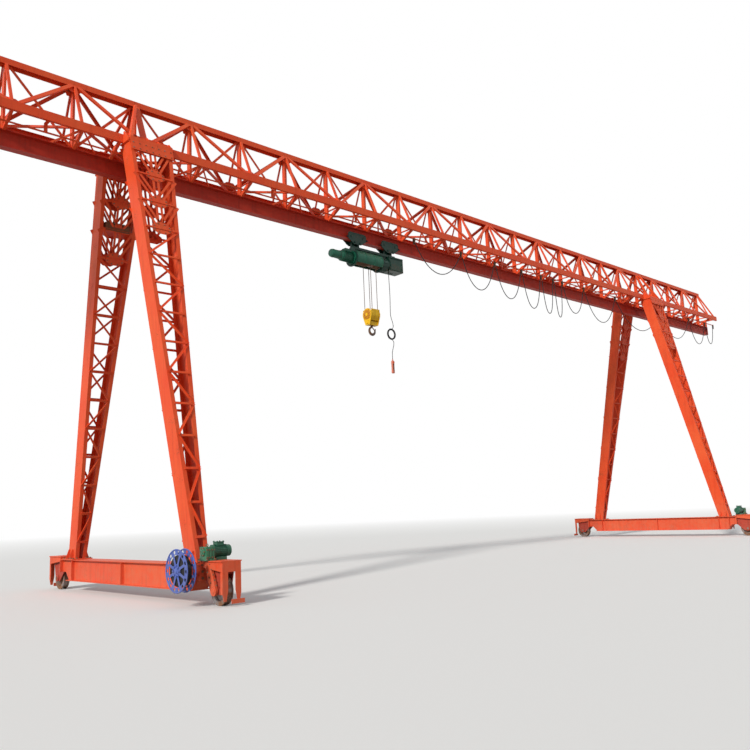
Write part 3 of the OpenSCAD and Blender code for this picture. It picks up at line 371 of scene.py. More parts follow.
# %% Weathered paint
def make_weather():
    """Bleached patches, rain streaks, rust chips and ground dust over one paint colour."""
    tree, given = finish_group(
        "weather",
        {"Paint": (0.8, 0.1, 0.03, 1), "Bleached": (0.85, 0.2, 0.08, 1), "Bleach": 0.5, "Streaks": 0.4,
         "Chips": 0.3, "Dust": 0.5, "Roughness": 0.45},
        {"Color": "Color", "Roughness": "Float", "Height": "Float"},
    )
    place = add(tree, "TexCoord").outputs["Object"]
    level = add(tree, "SeparateXYZ", {0: place}).outputs[2]
    facing = add(tree, "SeparateXYZ", {0: add(tree, "NewGeometry").outputs["Normal"]}).outputs[2]
    cloud = patches(tree, place, 0.8, 5.0, 0.62)
    fine = patches(tree, place, 9.0, 4.0, 0.6)
    bleach = times(tree, ramp(tree, plus(tree, cloud, fine, 0.35), 0.52, 0.9), given["Bleach"])
    colour = blended(tree, bleach, given["Paint"], given["Bleached"])
    runs = add(tree, "Mapping", {"Vector": place, "Scale": (11.0, 11.0, 0.7)}).outputs[0]
    streak = times(tree, ramp(tree, patches(tree, runs, 1.0, 4.0, 0.6), 0.5, 0.78), given["Streaks"])
    dark = add(tree, "Mix", {0: 1.0, 6: given["Paint"], 7: (0.34, 0.3, 0.3, 1)}, data_type="RGBA",
               blend_type="MULTIPLY").outputs[2]
    colour = blended(tree, streak, colour, dark)
    spots = patches(tree, place, 34.0, 6.0, 0.7)
    zones = ramp(tree, patches(tree, place, 2.3, 2.0), 0.45, 0.7)
    chip = times(tree, ramp(tree, plus(tree, spots, zones, 0.16), 0.68, 0.72), given["Chips"])
    rust = blended(tree, fine, (0.12, 0.035, 0.015, 1), (0.3, 0.11, 0.045, 1))
    colour = blended(tree, chip, colour, rust)
    low = ramp(tree, level, 1.6, 0.0)
    flat_top = ramp(tree, facing, 0.7, 1.0, 0.0, 0.55)
    dust = times(tree, maths(tree, "MAXIMUM", low, flat_top), ramp(tree, fine, 0.3, 0.75, 0.3, 1.0))
    dust = times(tree, dust, given["Dust"])
    colour = blended(tree, dust, colour, (0.36, 0.29, 0.22, 1))
    rough = plus(tree, given["Roughness"], maths(tree, "MAXIMUM", chip, dust), 0.35)
    rough = plus(tree, rough, bleach, 0.12)
    peel = patches(tree, place, 60.0, 2.0)
    height = maths(tree, "SUBTRACT", times(tree, peel, 0.12), chip)
    put_out(tree, Color=colour, Roughness=rough, Height=height)
    return tree


WEATHER = make_weather()


# %% [markdown]
# ## Bare steel and rubber
# Wheels, bolts, ropes and the hook are bare steel: metallic where they are rubbed, brown and
# dull where they have rusted. Cables and buttons are rubber with scuffs and a fine grain. Both
# groups are made as the paint is: noise chooses between the clean colour and the worn one.

# %% Bare steel and rubber
def make_steel_wear():
    """Steel with patches of rust: the steel is metallic and smoother, and the grit of the rust stands up."""
    tree, given = finish_group(
        "steel_wear",
        {"Steel": (0.4, 0.4, 0.41, 1), "Rust": (0.16, 0.07, 0.035, 1), "Rusty": 0.5, "Roughness": 0.4},
        {"Color": "Color", "Roughness": "Float", "Metallic": "Float", "Height": "Float"},
    )
    place = add(tree, "TexCoord").outputs["Object"]
    cloud = patches(tree, place, 5.0, 5.0, 0.65)
    grit = patches(tree, place, 70.0, 4.0, 0.6)
    cover = plus(tree, cloud, maths(tree, "SUBTRACT", given["Rusty"], 0.5), 0.8)
    rusty = ramp(tree, plus(tree, cover, grit, 0.15), 0.45, 0.72)
    colour = blended(tree, rusty, given["Steel"], blended(tree, grit, given["Rust"], (0.3, 0.15, 0.08, 1)))
    put_out(tree, Color=colour, Roughness=plus(tree, given["Roughness"], rusty, 0.4),
            Metallic=maths(tree, "SUBTRACT", 1.0, rusty), Height=times(tree, grit, rusty))
    return tree


def make_scuffs():
    """Rubber and plastic: scuffs over the base colour and a fine grain."""
    tree, given = finish_group(
        "scuffs",
        {"Base": (0.02, 0.02, 0.02, 1), "Scuffed": (0.1, 0.1, 0.1, 1), "Amount": 0.5, "Roughness": 0.5},
        {"Color": "Color", "Roughness": "Float", "Height": "Float"},
    )
    place = add(tree, "TexCoord").outputs["Object"]
    marks = times(tree, ramp(tree, patches(tree, place, 14.0, 6.0, 0.7), 0.45, 0.75), given["Amount"])
    put_out(tree, Color=blended(tree, marks, given["Base"], given["Scuffed"]),
            Roughness=plus(tree, given["Roughness"], marks, 0.25), Height=patches(tree, place, 220.0, 2.0))
    return tree


STEEL_WEAR = make_steel_wear()
SCUFFS = make_scuffs()
print("finish groups:", [g.name for g in bpy.data.node_groups])

# %% [markdown]
# ## Materials
# A material is one of the groups with its own colours and amounts, wired into a Principled
# shader. The colours are read as the paint would look in plain light: a hot orange-red, three
# greens, a crane yellow, an ochre, a strong blue and a salmon. The deeper red is painted shade:
# the hot red darkened for parts that stand in shadow, the runway beam and the axle hangers.

# %% Materials
BUMP = 0.2
BUMP_SIZE = 0.002
GLOSS = 0.3


def plain_material(name):
    """A new material, its node tree and the Principled shader in it."""
    made = bpy.data.materials.new(name)
    made.use_nodes = True
    tree = made.node_tree
    return made, tree, next(n for n in tree.nodes if n.type == "BSDF_PRINCIPLED")


def material(name, group, **values):
    """A Principled material whose colour, roughness and bump come from one finish group."""
    made, tree, shader = plain_material(name)
    shader.inputs["Specular IOR Level"].default_value = GLOSS
    worn = tree.nodes.new("ShaderNodeGroup")
    worn.node_tree = group
    for label, value in values.items():
        worn.inputs[label].default_value = value
    tree.links.new(worn.outputs["Color"], shader.inputs["Base Color"])
    tree.links.new(worn.outputs["Roughness"], shader.inputs["Roughness"])
    if "Metallic" in worn.outputs:
        tree.links.new(worn.outputs["Metallic"], shader.inputs["Metallic"])
    relief = add(tree, "Bump", {"Strength": BUMP, "Distance": BUMP_SIZE, "Height": worn.outputs["Height"]})
    tree.links.new(relief.outputs[0], shader.inputs["Normal"])
    return made


def paint(name, fresh, bleached, bleach, streaks, chips, dust, roughness):
    """A weathered paint: its fresh and bleached colours, and how much of each effect it has."""
    return material(name, WEATHER, Paint=(*fresh, 1), Bleached=(*bleached, 1), Bleach=bleach, Streaks=streaks,
                    Chips=chips, Dust=dust, Roughness=roughness)


def rubber(name, base, scuffed, roughness):
    """Rubber or plastic: its colour and the colour of its scuffs."""
    return material(name, SCUFFS, Base=(*base, 1), Scuffed=(*scuffed, 1), Roughness=roughness)


def steel(name, colour, rusty, roughness, rust=(0.16, 0.07, 0.035)):
    """Bare steel: its colour, how rusty it is and the colour of its rust."""
    return material(name, STEEL_WEAR, Steel=(*colour, 1), Rust=(*rust, 1), Rusty=rusty, Roughness=roughness)


RED = paint("hot_red_paint", (0.80, 0.068, 0.014), (0.86, 0.16, 0.045), 0.5, 0.3, 0.45, 0.32, 0.5)
# painted shade: a darkened copy of the hot red, standing in for the shadow on the runway beam and the axle
# hangers
SHADED_RED = paint("shaded_red_paint", (0.46, 0.024, 0.010), (0.62, 0.07, 0.025), 0.35, 0.5, 0.5, 0.3, 0.52)
GREEN = paint("hoist_green_paint", (0.008, 0.105, 0.06), (0.03, 0.19, 0.12), 0.5, 0.6, 0.4, 0.25, 0.28)
PALE_GREEN = paint("drive_green_paint", (0.03, 0.19, 0.10), (0.09, 0.30, 0.18), 0.5, 0.5, 0.3, 0.3, 0.34)
DARK_GREEN = paint("box_green_paint", (0.005, 0.036, 0.024), (0.016, 0.07, 0.05), 0.5, 0.5, 0.4, 0.22, 0.32)
BLUE = paint("reel_blue_paint", (0.045, 0.10, 0.46), (0.14, 0.23, 0.58), 0.5, 0.4, 0.5, 0.35, 0.42)
YELLOW = paint("block_yellow_paint", (0.86, 0.50, 0.004), (0.88, 0.60, 0.06), 0.35, 0.6, 0.35, 0.4, 0.42)
OCHRE = paint("block_ochre_paint", (0.56, 0.22, 0.006), (0.62, 0.32, 0.05), 0.3, 0.7, 0.4, 0.3, 0.45)
SALMON = rubber("pendant_salmon", (0.70, 0.20, 0.13), (0.45, 0.26, 0.2), 0.45)
RUBBER = rubber("cable_rubber", (0.012, 0.012, 0.014), (0.06, 0.058, 0.055), 0.6)
WHEEL_STEEL = steel("wheel_steel", (0.36, 0.36, 0.37), 0.62, 0.36)
DRUM_STEEL = steel("drum_steel", (0.2, 0.2, 0.21), 0.5, 0.4)
BOLT_STEEL = steel("bolt_steel", (0.3, 0.29, 0.28), 0.65, 0.42)
DARK_STEEL = steel("forged_steel", (0.06, 0.06, 0.065), 0.6, 0.45, rust=(0.05, 0.03, 0.022))
ROPE = steel("wire_rope", (0.03, 0.03, 0.028), 0.6, 0.42, rust=(0.05, 0.04, 0.032))
RUST = steel("rusty_sheet", (0.16, 0.07, 0.04), 0.95, 0.62, rust=(0.16, 0.045, 0.02))
print("materials:", len(bpy.data.materials))

# %% [markdown]
# ## Paint on the frame's own solids
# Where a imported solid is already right, its material slot
# simply gets the finish: chords, plates, beams, wheels.

# %% Dress the kept solids
DRESS = {
    RED: ["top_chord", "side_chord_front", "side_chord_back", "girder_end_frames", "leg_left_front",
          "leg_left_back", "leg_right_front", "leg_right_back", "leg_feet", "base_beam_left",
          "base_beam_right", "reel_stand", "resistor_shelf", "festoon_track"],
    # painted shade: the runway beam gets the darker red because it hangs in the girder's shadow
    SHADED_RED: ["runway_beam"],
    GREEN: ["drum_shell", "travel_motors"],
    DARK_GREEN: ["trolley_plates", "trolley_motor", "hoist_frame", "hoist_gearbox", "hoist_control_box"],
    YELLOW: ["hook_block"],
    WHEEL_STEEL: ["wheel_left_front", "wheel_left_back", "wheel_right_front", "wheel_right_back",
                  "trolley_wheels", "hook_sheaves"],
    DRUM_STEEL: ["rope_drum"],
}
for finish, names in DRESS.items():
    for name in names:
        for slot in nodes[name].material_slots:
            slot.material = finish
print("dressed:", sum(map(len, DRESS.values())), "solids")

# %% [markdown]
# ## Making a piece
# Every new piece is made alike: its solids become one mesh, written in whole arrays, with one finish
# and one slot. It rides on the body that carries it, so that it moves with the joints, unless it
# stretches between two bodies. Faces that meet at a small angle are shaded as one smooth surface.

# %% Making a piece
def piece(name, body, finish, solids, smooth=0.0):
    """A mesh from solids, riding on a body; edges duller than smooth degrees are shaded smooth."""
    points, loops, sizes = joined(solids)
    mesh = bpy.data.meshes.new(name)
    mesh.vertices.add(len(points))
    mesh.loops.add(len(loops))
    mesh.polygons.add(len(sizes))
    mesh.vertices.foreach_set("co", points.astype(np.float32).ravel())
    mesh.loops.foreach_set("vertex_index", loops.astype(np.int32))
    mesh.polygons.foreach_set("loop_start", (np.cumsum(sizes) - sizes).astype(np.int32))
    mesh.update(calc_edges=True)
    mesh.polygons.foreach_set("use_smooth", np.full(len(sizes), smooth > 0))
    if smooth:
        mesh.set_sharp_from_angle(angle=np.radians(smooth))
    mesh.materials.append(finish)
    made = placed(name, mesh)
    if body:
        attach(made, body)
    print(f"{name}: {len(sizes)} faces")
    return made


# %% [markdown]
# ## Pendant lead
# The control pendant hangs on a long lead, and the spare length is gathered in a coil that
# hangs halfway. One route does it all: straight down from the gland, a bend into the coil,
# five and a half turns that keep a lead's width apart by moving round the bundle as they
# go, a bend out of it, and down through the pendant's own gland to the foot of its housing.

# %% Pendant lead
HOIST_X = -4.5
PENDANT = np.array([HOIST_X + 0.88, -0.05, 6.872])
LEAD_TOP = 8.7897
LEAD_LOW = 5.73
LEAD_R = 0.009
COIL_R = 0.15
COIL_STEP = 0.0187
COIL_TURNS = 5.5
LEAD_BEND = 0.095
LEAD_AWAY = 0.36


def lead_route():
    """Stretches in (across, depth, up) about the coil's middle: a slight bow, a smooth shift aside, a quarter
    circle, turns of radius R + s cos(t / 6) at depth -s sin(t / 6), then a quarter circle, a shift back to
    the line and a straight end."""
    top = COIL_R + COIL_STEP + LEAD_BEND
    f = np.linspace(0, 1, 24, endpoint=False)
    ease = f * f * (3 - 2 * f)
    hang = [0.014 * np.sin(np.pi * f) ** 2, 0 * f, (LEAD_TOP - PENDANT[2]) * (1 - f) + (top + LEAD_AWAY) * f]
    aside = [LEAD_BEND * ease, 0 * f, top + LEAD_AWAY * (1 - f)]
    q = np.linspace(0, np.pi / 2, 10, endpoint=False)
    bend_in = [LEAD_BEND * np.cos(q), 0 * q, top - LEAD_BEND * np.sin(q)]
    t = np.linspace(0, COIL_TURNS * 2 * np.pi, int(COIL_TURNS * 28) + 1)
    r = COIL_R + COIL_STEP * np.cos(t / 6)
    turns = [-r * np.sin(t), -COIL_STEP * np.sin(t / 6), r * np.cos(t)]
    depth, low = turns[1][-1], r[-1] + LEAD_BEND
    q = np.linspace(0, np.pi / 2, 11)[1:]
    bend_out = [LEAD_BEND * np.sin(q), depth + 0 * q, LEAD_BEND * np.cos(q) - low]
    f = np.linspace(0, 1, 25)[1:]
    ease = f * f * (3 - 2 * f)
    back = [LEAD_BEND * (1 - ease), depth * (1 - ease), -low - LEAD_AWAY * f]
    f = np.linspace(0, 1, 9)[1:]
    down = [0 * f, 0 * f, -low - LEAD_AWAY - (PENDANT[2] - LEAD_LOW - low - LEAD_AWAY) * f]
    stretches = (hang, aside, bend_in, turns, bend_out, back, down)
    return PENDANT + np.concatenate([np.stack(s, 1) for s in stretches])


def length_of(path):
    """The sum of the steps along a path."""
    return float(np.linalg.norm(np.diff(path, axis=0), axis=1).sum())


lead_path = lead_route()
lead = piece("pendant_lead", "hoist", RUBBER, [tube(lead_path, LEAD_R, 10)], smooth=60)
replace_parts(lead, "pendant_cable", "pendant_coil")

tied_at = np.radians([20.0, 140.0, 250.0])
tie_places = PENDANT + COIL_R * xyz(-np.sin(tied_at), 0, np.cos(tied_at))
tie = turned(hoop(0.0285, 0.031, -0.007, 0.007), corners=20, ring=True)
tie_ring = scatter(tie, tie_places, xyz(-np.cos(tied_at), 0, -np.sin(tied_at)), up=Y)
ties = piece("coil_ties", "hoist", RUBBER, [tie_ring], smooth=40)

# %% [markdown]
# ## Pendant station
# A moulded box with a drawn-in waist, a ribbed cone where the lead enters, one red stop button and a column
# of smaller ones. The housing is lofted: each level is a rounded rectangle with its own width and depth.

# %% Pendant station
BUTTON = joined([
    turned([[0.019, 0], [0.019, 0.004], [0.016, 0.007]], corners=20),
    turned([[0.0125, 0.007], [0.0125, 0.014], [0.010, 0.017]], corners=20),
])
STATION_TOP = 6.1
BUTTON_DROPS = np.array([0.165, 0.21, 0.255, 0.3, 0.345])
STOP_DROP = 0.11


def lofted(widths, depths, levels, centre, corners=36, power=5.0):
    """Rounded rectangles |2x/w|^p + |2y/d|^p = 1, one for each level, joined into one skin."""
    a = full_turn(corners)
    x, y = (np.sign(c) * np.abs(c) ** (2 / power) for c in (np.cos(a), np.sin(a)))
    w, d, z = (np.asarray(v, float)[:, None] for v in (widths, depths, levels))
    return skin(np.asarray(centre) + xyz(w / 2 * x, d / 2 * y, z))


station_at = [PENDANT[0], PENDANT[1], STATION_TOP]
housing = lofted(
    [0.05, 0.078, 0.088, 0.09, 0.084, 0.084, 0.09, 0.09, 0.086, 0.06],
    [0.045, 0.062, 0.068, 0.07, 0.064, 0.064, 0.07, 0.07, 0.066, 0.05],
    [-0.44, -0.436, -0.425, -0.39, -0.3, -0.2, -0.13, -0.08, -0.063, -0.058],
    station_at,
)
f = np.linspace(0, 1, 25)
ribbed = np.stack([0.026 - 0.014 * f + 0.0022 * np.cos(12 * np.pi * f), -0.06 + 0.06 * f], 1)
cone = turned(ribbed, station_at, Z, 24)
face_at = np.array([PENDANT[0], PENDANT[1] - 0.034, STATION_TOP])
station = piece("pendant_housing", "hoist", SALMON, [housing, cone], smooth=40)
button_column = scatter(BUTTON, face_at - BUTTON_DROPS[:, None] * Z, -Y)
buttons = piece("pendant_buttons", "hoist", RUBBER, [button_column], smooth=40)
stop = turned([[0.012, 0], [0.012, 0.012], [0.02, 0.014], [0.022, 0.02], [0.016, 0.027], [0.006, 0.029]],
              face_at - STOP_DROP * Z, -Y, 24)
stop_button = piece("pendant_stop", "hoist", RED, [stop], smooth=40)
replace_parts(station, "pendant_station")
print("lead:", round(length_of(lead_path), 3), "m")

# %% [markdown]
# ## Festoon cable
# The supply cable hangs in loops from small carriers on a track. A free cable hangs in
# a catenary, the curve of a hanging chain, and over each carrier it lies on a round
# saddle. The two meet where they have the same slope. That slope depends on the loop's
# width and the width on the slope, so both are found by going round a few times.

# %% Festoon cable
FESTOON_Y = -0.43
FESTOON_TOP = 9.857
FESTOON_R = 0.014
SADDLE_R = 0.052
BEND_R = SADDLE_R + FESTOON_R
CARRIERS = np.array([-2.8, -0.55, 1.25, 2.8, 4.0, 4.8, 5.4, 6.9, 9.3, 13.1, 16.0, 17.7, 18.65])
LOOP_LOW = FESTOON_TOP - np.array([0.83, 1.03, 1.08, 1.23, 1.28, 1.33, 1.03, 1.13, 1.08, 1.03, 1.03, 0.88])


def catenary_number(sag_share):
    """The u for which (cosh(u) - 1) / 2u, a catenary's sag over its span, is sag_share; found by halving."""
    low, high = np.full(sag_share.shape, 1e-3), np.full(sag_share.shape, 9.0)
    for _ in range(40):
        u = (low + high) / 2
        too_deep = (np.cosh(u) - 1) / (2 * u) > sag_share
        low, high = np.where(too_deep, low, u), np.where(too_deep, u, high)
    return u


bay_x = np.diff(CARRIERS)
slope_angle = np.ones(bay_x.size)
for _ in range(30):
    free = bay_x - 2 * BEND_R * np.sin(slope_angle)
    sag = FESTOON_TOP - BEND_R * (1 - np.cos(slope_angle)) - LOOP_LOW
    u = catenary_number(sag / free)
    slope_angle = np.arctan(np.sinh(u))
low_r = free / (2 * u)
steep = np.sinh(u)[:, None] * np.linspace(-1, 1, 49)[1:-1]
loops = xyz((CARRIERS[:-1] + bay_x / 2)[:, None] + low_r[:, None] * np.arcsinh(steep), FESTOON_Y,
            LOOP_LOW[:, None] + low_r[:, None] * (np.sqrt(1 + steep * steep) - 1))
bend = np.linspace(-np.append(0, slope_angle), np.append(slope_angle, 0), 12, axis=1)
bends = xyz(CARRIERS[:, None] + BEND_R * np.sin(bend), FESTOON_Y, FESTOON_TOP - BEND_R * (1 - np.cos(bend)))
festoon_path = np.concatenate([np.concatenate([bends[:-1], loops], 1).reshape(-1, 3), bends[-1]])
hung_cable = tube(festoon_path, FESTOON_R, 10)
festoon = piece("festoon_loops", "frame", RUBBER, [hung_cable], smooth=60)
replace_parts(festoon, "festoon_cable")
print("festoon cable:", round(length_of(festoon_path), 2), "m, tightest loop", low_r.min().round(3), "m")

# %% [markdown]
# ## Festoon carriers
# Each carrier is a small trolley: two side plates over the track bar, two rollers
# between them, and a curved saddle that the cable lies on, held by a clamp.

# %% Festoon carriers
TRACK_Z = 9.96
SADDLE_T = 0.006
PLATE_T = 0.005
ARM_Y = 0.0215
at_saddle = xyz(CARRIERS, FESTOON_Y, FESTOON_TOP - BEND_R)
at_track = xyz(CARRIERS, FESTOON_Y, TRACK_Z)
half_round = np.linspace(0, np.pi, 13)
saddle_outline = np.concatenate([polar(SADDLE_R, half_round), polar(SADDLE_R - SADDLE_T, half_round[::-1])])
side_plate = [[-0.035, 0.04], [-0.045, -0.05], [-0.03, -0.09], [0.03, -0.09], [0.045, -0.05], [0.035, 0.04]]
roller = turned(hoop(0.006, 0.012, -0.008, 0.008), corners=16)
keeper_at = at_saddle + (SADDLE_R + 0.03) * Z
carrier_parts = [bars(saddle_outline, at_saddle + 0.02 * Y, at_saddle - 0.02 * Y, Z),
                 bars(flat(0.05, 0.03), keeper_at + 0.021 * Y, keeper_at - 0.021 * Y, Z)]
for s in (-1, 1):
    carrier_parts += [
        bars(side_plate, at_track + s * ARM_Y * Y, at_track + (s * ARM_Y - PLATE_T) * Y, Z),
        bars(flat(0.03, PLATE_T), at_track + [0, s * ARM_Y, -0.07], at_saddle + s * ARM_Y * Y, X),
        scatter(roller, at_track + [s * 0.02, 0, -0.013], Y),
    ]
carriers = piece("festoon_trolleys", "frame", DARK_STEEL, carrier_parts, smooth=35)
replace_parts(carriers, "festoon_carriers")

# %% [markdown]
# ## Girder lattice
# The triangular truss has two sloping side planes, an upright centre plane
# and a flat plane between the side chords. Every bar is a rolled angle or
# channel: the node arrays give its two ends and one section serves a set.

# %% Girder nodes
BAY = 1.5
HALF_BAYS = 12
HEAD_BAY = 8
BEAM_TOP = 9.96
CHORD_Z = 10.18
CHORD_TOP = 10.38
TOP_Z = 11.46
FOOT_YZ = np.array([0.5825, 10.28])
HEAD_YZ = np.array([0.06, 11.53])
k = np.arange(-HALF_BAYS, HALF_BAYS + 1)
even, odd = k[k % 2 == 0], k[k % 2 == 1]


def share_of(z):
    """The share of the way up a sloping side plane at the height z."""
    return (z - FOOT_YZ[1]) / (HEAD_YZ[1] - FOOT_YZ[1])


def on_side(x, z):
    """The point of the front sloping plane at the length x and the height z."""
    return xyz(x, -FOOT_YZ[0] - share_of(z) * (HEAD_YZ[0] - FOOT_YZ[0]), z)


def between(x0, x1):
    """Ends of the bars from x0 at the side chord's middle to x1 at the top chord's, cut at two heights."""
    return [on_side(x0 + (x1 - x0) * share_of(z), z) for z in CUTS]


# %% Sloping side planes
CUTS = (CHORD_TOP - 0.012, TOP_Z + 0.01)
slope = unit(HEAD_YZ - FOOT_YZ)
UP_SLOPE = np.array([0, -slope[0], slope[1]])
INWARD = np.array([0, slope[1], slope[0]])
BRACE = channel(0.085, 0.05, 0.008)
END_FOOT, END_TOP = 0.675, 0.125
GUSSET_AT = 0.027
GUSSET_T = 0.01
print("side plane: inward", INWARD.round(3), "up", UP_SLOPE.round(3))
plain = k[np.abs(k) != HEAD_BAY] * BAY
over_legs = k[np.abs(k) == HEAD_BAY] * BAY
up_bars = bars(angle(0.06, 0.05, 0.007), *between(plain, plain), INWARD)
leg_posts = bars(channel(0.15, 0.05, 0.01), *between(over_legs, over_legs), INWARD)
tops = np.repeat(odd, 2) * BAY
feet = tops + np.tile([-BAY, BAY], odd.size)
braces = bars(BRACE, *between(feet, tops), INWARD)
ends = np.array([-1, 1])
girder_end = HALF_BAYS * BAY
end_feet, end_tops = ends * (girder_end + END_FOOT), ends * (girder_end + END_TOP)
end_braces = bars(BRACE, *between(end_feet, end_tops), INWARD)
gusset_foot = [[-0.21, 0.0], [0.21, 0.0], [0.21, 0.09], [0.1, 0.17], [-0.1, 0.17], [-0.21, 0.09]]
gusset_top = [[-0.2, 0.0], [-0.1, -0.16], [0.1, -0.16], [0.2, 0.0]]
at_foot = on_side(even * BAY, CHORD_TOP - 0.01) + GUSSET_AT * INWARD
at_top = on_side(odd * BAY, TOP_Z + 0.005) + GUSSET_AT * INWARD
gussets = [bars(gusset_foot, at_foot, at_foot + GUSSET_T * INWARD, UP_SLOPE),
           bars(gusset_top, at_top, at_top + GUSSET_T * INWARD, UP_SLOPE)]
bolt_row = np.array([-0.16, -0.1, -0.035, 0.035, 0.1, 0.16])[:, None] * X + GUSSET_T * INWARD
low_bolts = (at_foot[:, None] + bolt_row + 0.06 * UP_SLOPE).reshape(-1, 3)
top_bolts = (at_top[:, None] + bolt_row * [0.8, 1, 1] - 0.05 * UP_SLOPE).reshape(-1, 3)
bolts = [scatter(BOLT, low_bolts, INWARD), scatter(BOLT, top_bolts, INWARD)]
front_plane = joined([up_bars, leg_posts, braces, end_braces, *gussets])
side_front = piece("side_bracing_front", "frame", RED, [front_plane])
side_back = piece("side_bracing_back", "frame", RED, [mirrored(front_plane, 1)])
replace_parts(side_front, "web_lattice_front")
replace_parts(side_back, "web_lattice_back")
piece("gusset_bolts", "frame", BOLT_STEEL, [*bolts, *(mirrored(b, 1) for b in bolts)])

# %% [markdown]
# ## Centre plane and cross ties
# Wide channels stand at every node with their backs to the left, where the light catches
# them. Slimmer angles run down between them, and flat angles zigzag between the side chords.

# %% Centre plane and ties
TOP_IN = 11.585
posts = bars(channel(0.145, 0.05, 0.009), xyz(k * BAY, 0, BEAM_TOP), xyz(k * BAY, 0, TOP_Z - 0.03), X)
post_heads = bars(channel(0.1, 0.05, 0.009), xyz(k * BAY, 0, TOP_Z - 0.03), xyz(k * BAY, 0, TOP_IN), X)
slant_tops = np.repeat(even, 2) * BAY
slant_feet = slant_tops + np.tile([-BAY, BAY], even.size)
inside = np.abs(slant_feet) <= girder_end + 0.01
slants = bars(angle(0.065, 0.05, 0.007), xyz(slant_tops[inside], 0, TOP_IN - 0.03),
              xyz(slant_feet[inside], 0, BEAM_TOP), Y)
base_plates = bars(flat(0.2, 0.16), xyz(k * BAY, 0, BEAM_TOP), xyz(k * BAY, 0, BEAM_TOP + 0.012), Y)
centre = piece("centre_bracing", "frame", RED, [posts, post_heads, slants, base_plates])
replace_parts(centre, "centre_lattice")

REACH = 0.545
FLAT_Z = CHORD_Z + 0.1
TIE = angle(0.055, 0.05, 0.006)
tie_x = k * BAY + np.where(k < 0, 1, -1) * 0.0525
cross_ties = bars(TIE, xyz(tie_x, -REACH, FLAT_Z), xyz(tie_x, REACH, FLAT_Z), Z)
zig_y = np.where(k[:-1] % 2 == 0, REACH, -REACH)
zigzag = bars(TIE, xyz(k[:-1] * BAY, zig_y, FLAT_Z), xyz(k[1:] * BAY, -zig_y, FLAT_Z), Z)
level = piece("level_bracing", "frame", RED, [cross_ties, zigzag])
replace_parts(level, "flat_lattice")

# %% [markdown]
# ## Hangers
# The runway beam hangs from the side chords on short struts: one pair at each node, and a spread pair at
# every other one. A bright plate closes each pair like a small portal, which is what shows from the left end.

# %% Hangers
HEAD_HALF = 0.568
WEB_AT = np.array([-0.032, -0.024])
beside_heads = ends[:, None] * HEAD_BAY * BAY + ends * (HEAD_HALF + 0.06)
strut_x = np.concatenate([plain, beside_heads.ravel()])
fan_out = tops + np.tile([-0.5, 0.5], odd.size)
strut_top = xyz(strut_x, -FOOT_YZ[0], CHORD_Z + 0.03)
struts = bars(angle(0.075, 0.06, 0.008), strut_top, xyz(strut_x, -0.0875, BEAM_TOP), X)
fan_top = xyz(tops, -FOOT_YZ[0], CHORD_Z + 0.03)
fans = bars(angle(0.045, 0.045, 0.006), fan_top, xyz(fan_out, -0.06, BEAM_TOP), Y)
web = [[-0.2, -0.2], [-0.105, -0.216], [-0.085, -0.216], [-0.14, -0.13], [-0.36, -0.004], [-0.545, -0.004]]
webs = bars(web, *(xyz(strut_x + x, 0, CHORD_Z) for x in WEB_AT), Z)
half_set = joined([struts, fans, webs])
hangers = piece("hangers", "frame", RED, [half_set, mirrored(half_set, 1)])
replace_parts(hangers, "beam_hangers")

# %% [markdown]
# ## Leg lattices
# Each raking leg is a box of two channel chords, braced on its front and back by light
# bars. Low down, one diagonal crosses each panel and turns about at every tie; above,
# twin flats fan out from long eight-sided plates. The bars are drawn flat, in the leg's
# own plane, and then every leg's set is turned upright and leaned in. The resistor box
# shows through the back left leg, so the middle plate of its inner plane is left out.

# %% Leg lattices
LEG_FOOT = np.array([12.0, 2.83, 0.77])
LEG_X = -LEG_FOOT[0]
LEG_HEAD_Y = 0.66
LEG_TOP = 10.16
LEG_HALF_DEPTH = 0.205
HALF_FOOT_W = 0.132
HALF_HEAD_W = 0.528
ZIG_PANELS = 10
STAR_ROWS = 3
FIRST_TIE, LAST_TIE = 0.0467, 0.9085
INSET = 0.02
leg_run = np.array([LEG_FOOT[1] - LEG_HEAD_Y, LEG_TOP - LEG_FOOT[2]])
LEG_LEN = float(np.linalg.norm(leg_run))
LEAN_SIN, LEAN_COS = leg_run / LEG_LEN
tie_at = LEG_LEN * np.linspace(FIRST_TIE, LAST_TIE, ZIG_PANELS + STAR_ROWS)


def half_width(up_leg):
    """Half the leg's width at a length up the leg."""
    return HALF_FOOT_W + (HALF_HEAD_W - HALF_FOOT_W) * up_leg / LEG_LEN


def stand(solid, side, end):
    """A solid drawn as (across, depth, up the leg) set under one head: depth and length turn by the lean, the
    back leg is the front one mirrored, and so is the right support."""
    x, d, s = solid[0].T
    leaning = xyz(x, s * LEAN_SIN + d * LEAN_COS, s * LEAN_COS - d * LEAN_SIN) + LEG_FOOT * [-1, -1, 1]
    made = (leaning, solid[1], solid[2])
    if side > 0:
        made = mirrored(made, 1)
    return mirrored(made, 0) if end > 0 else made


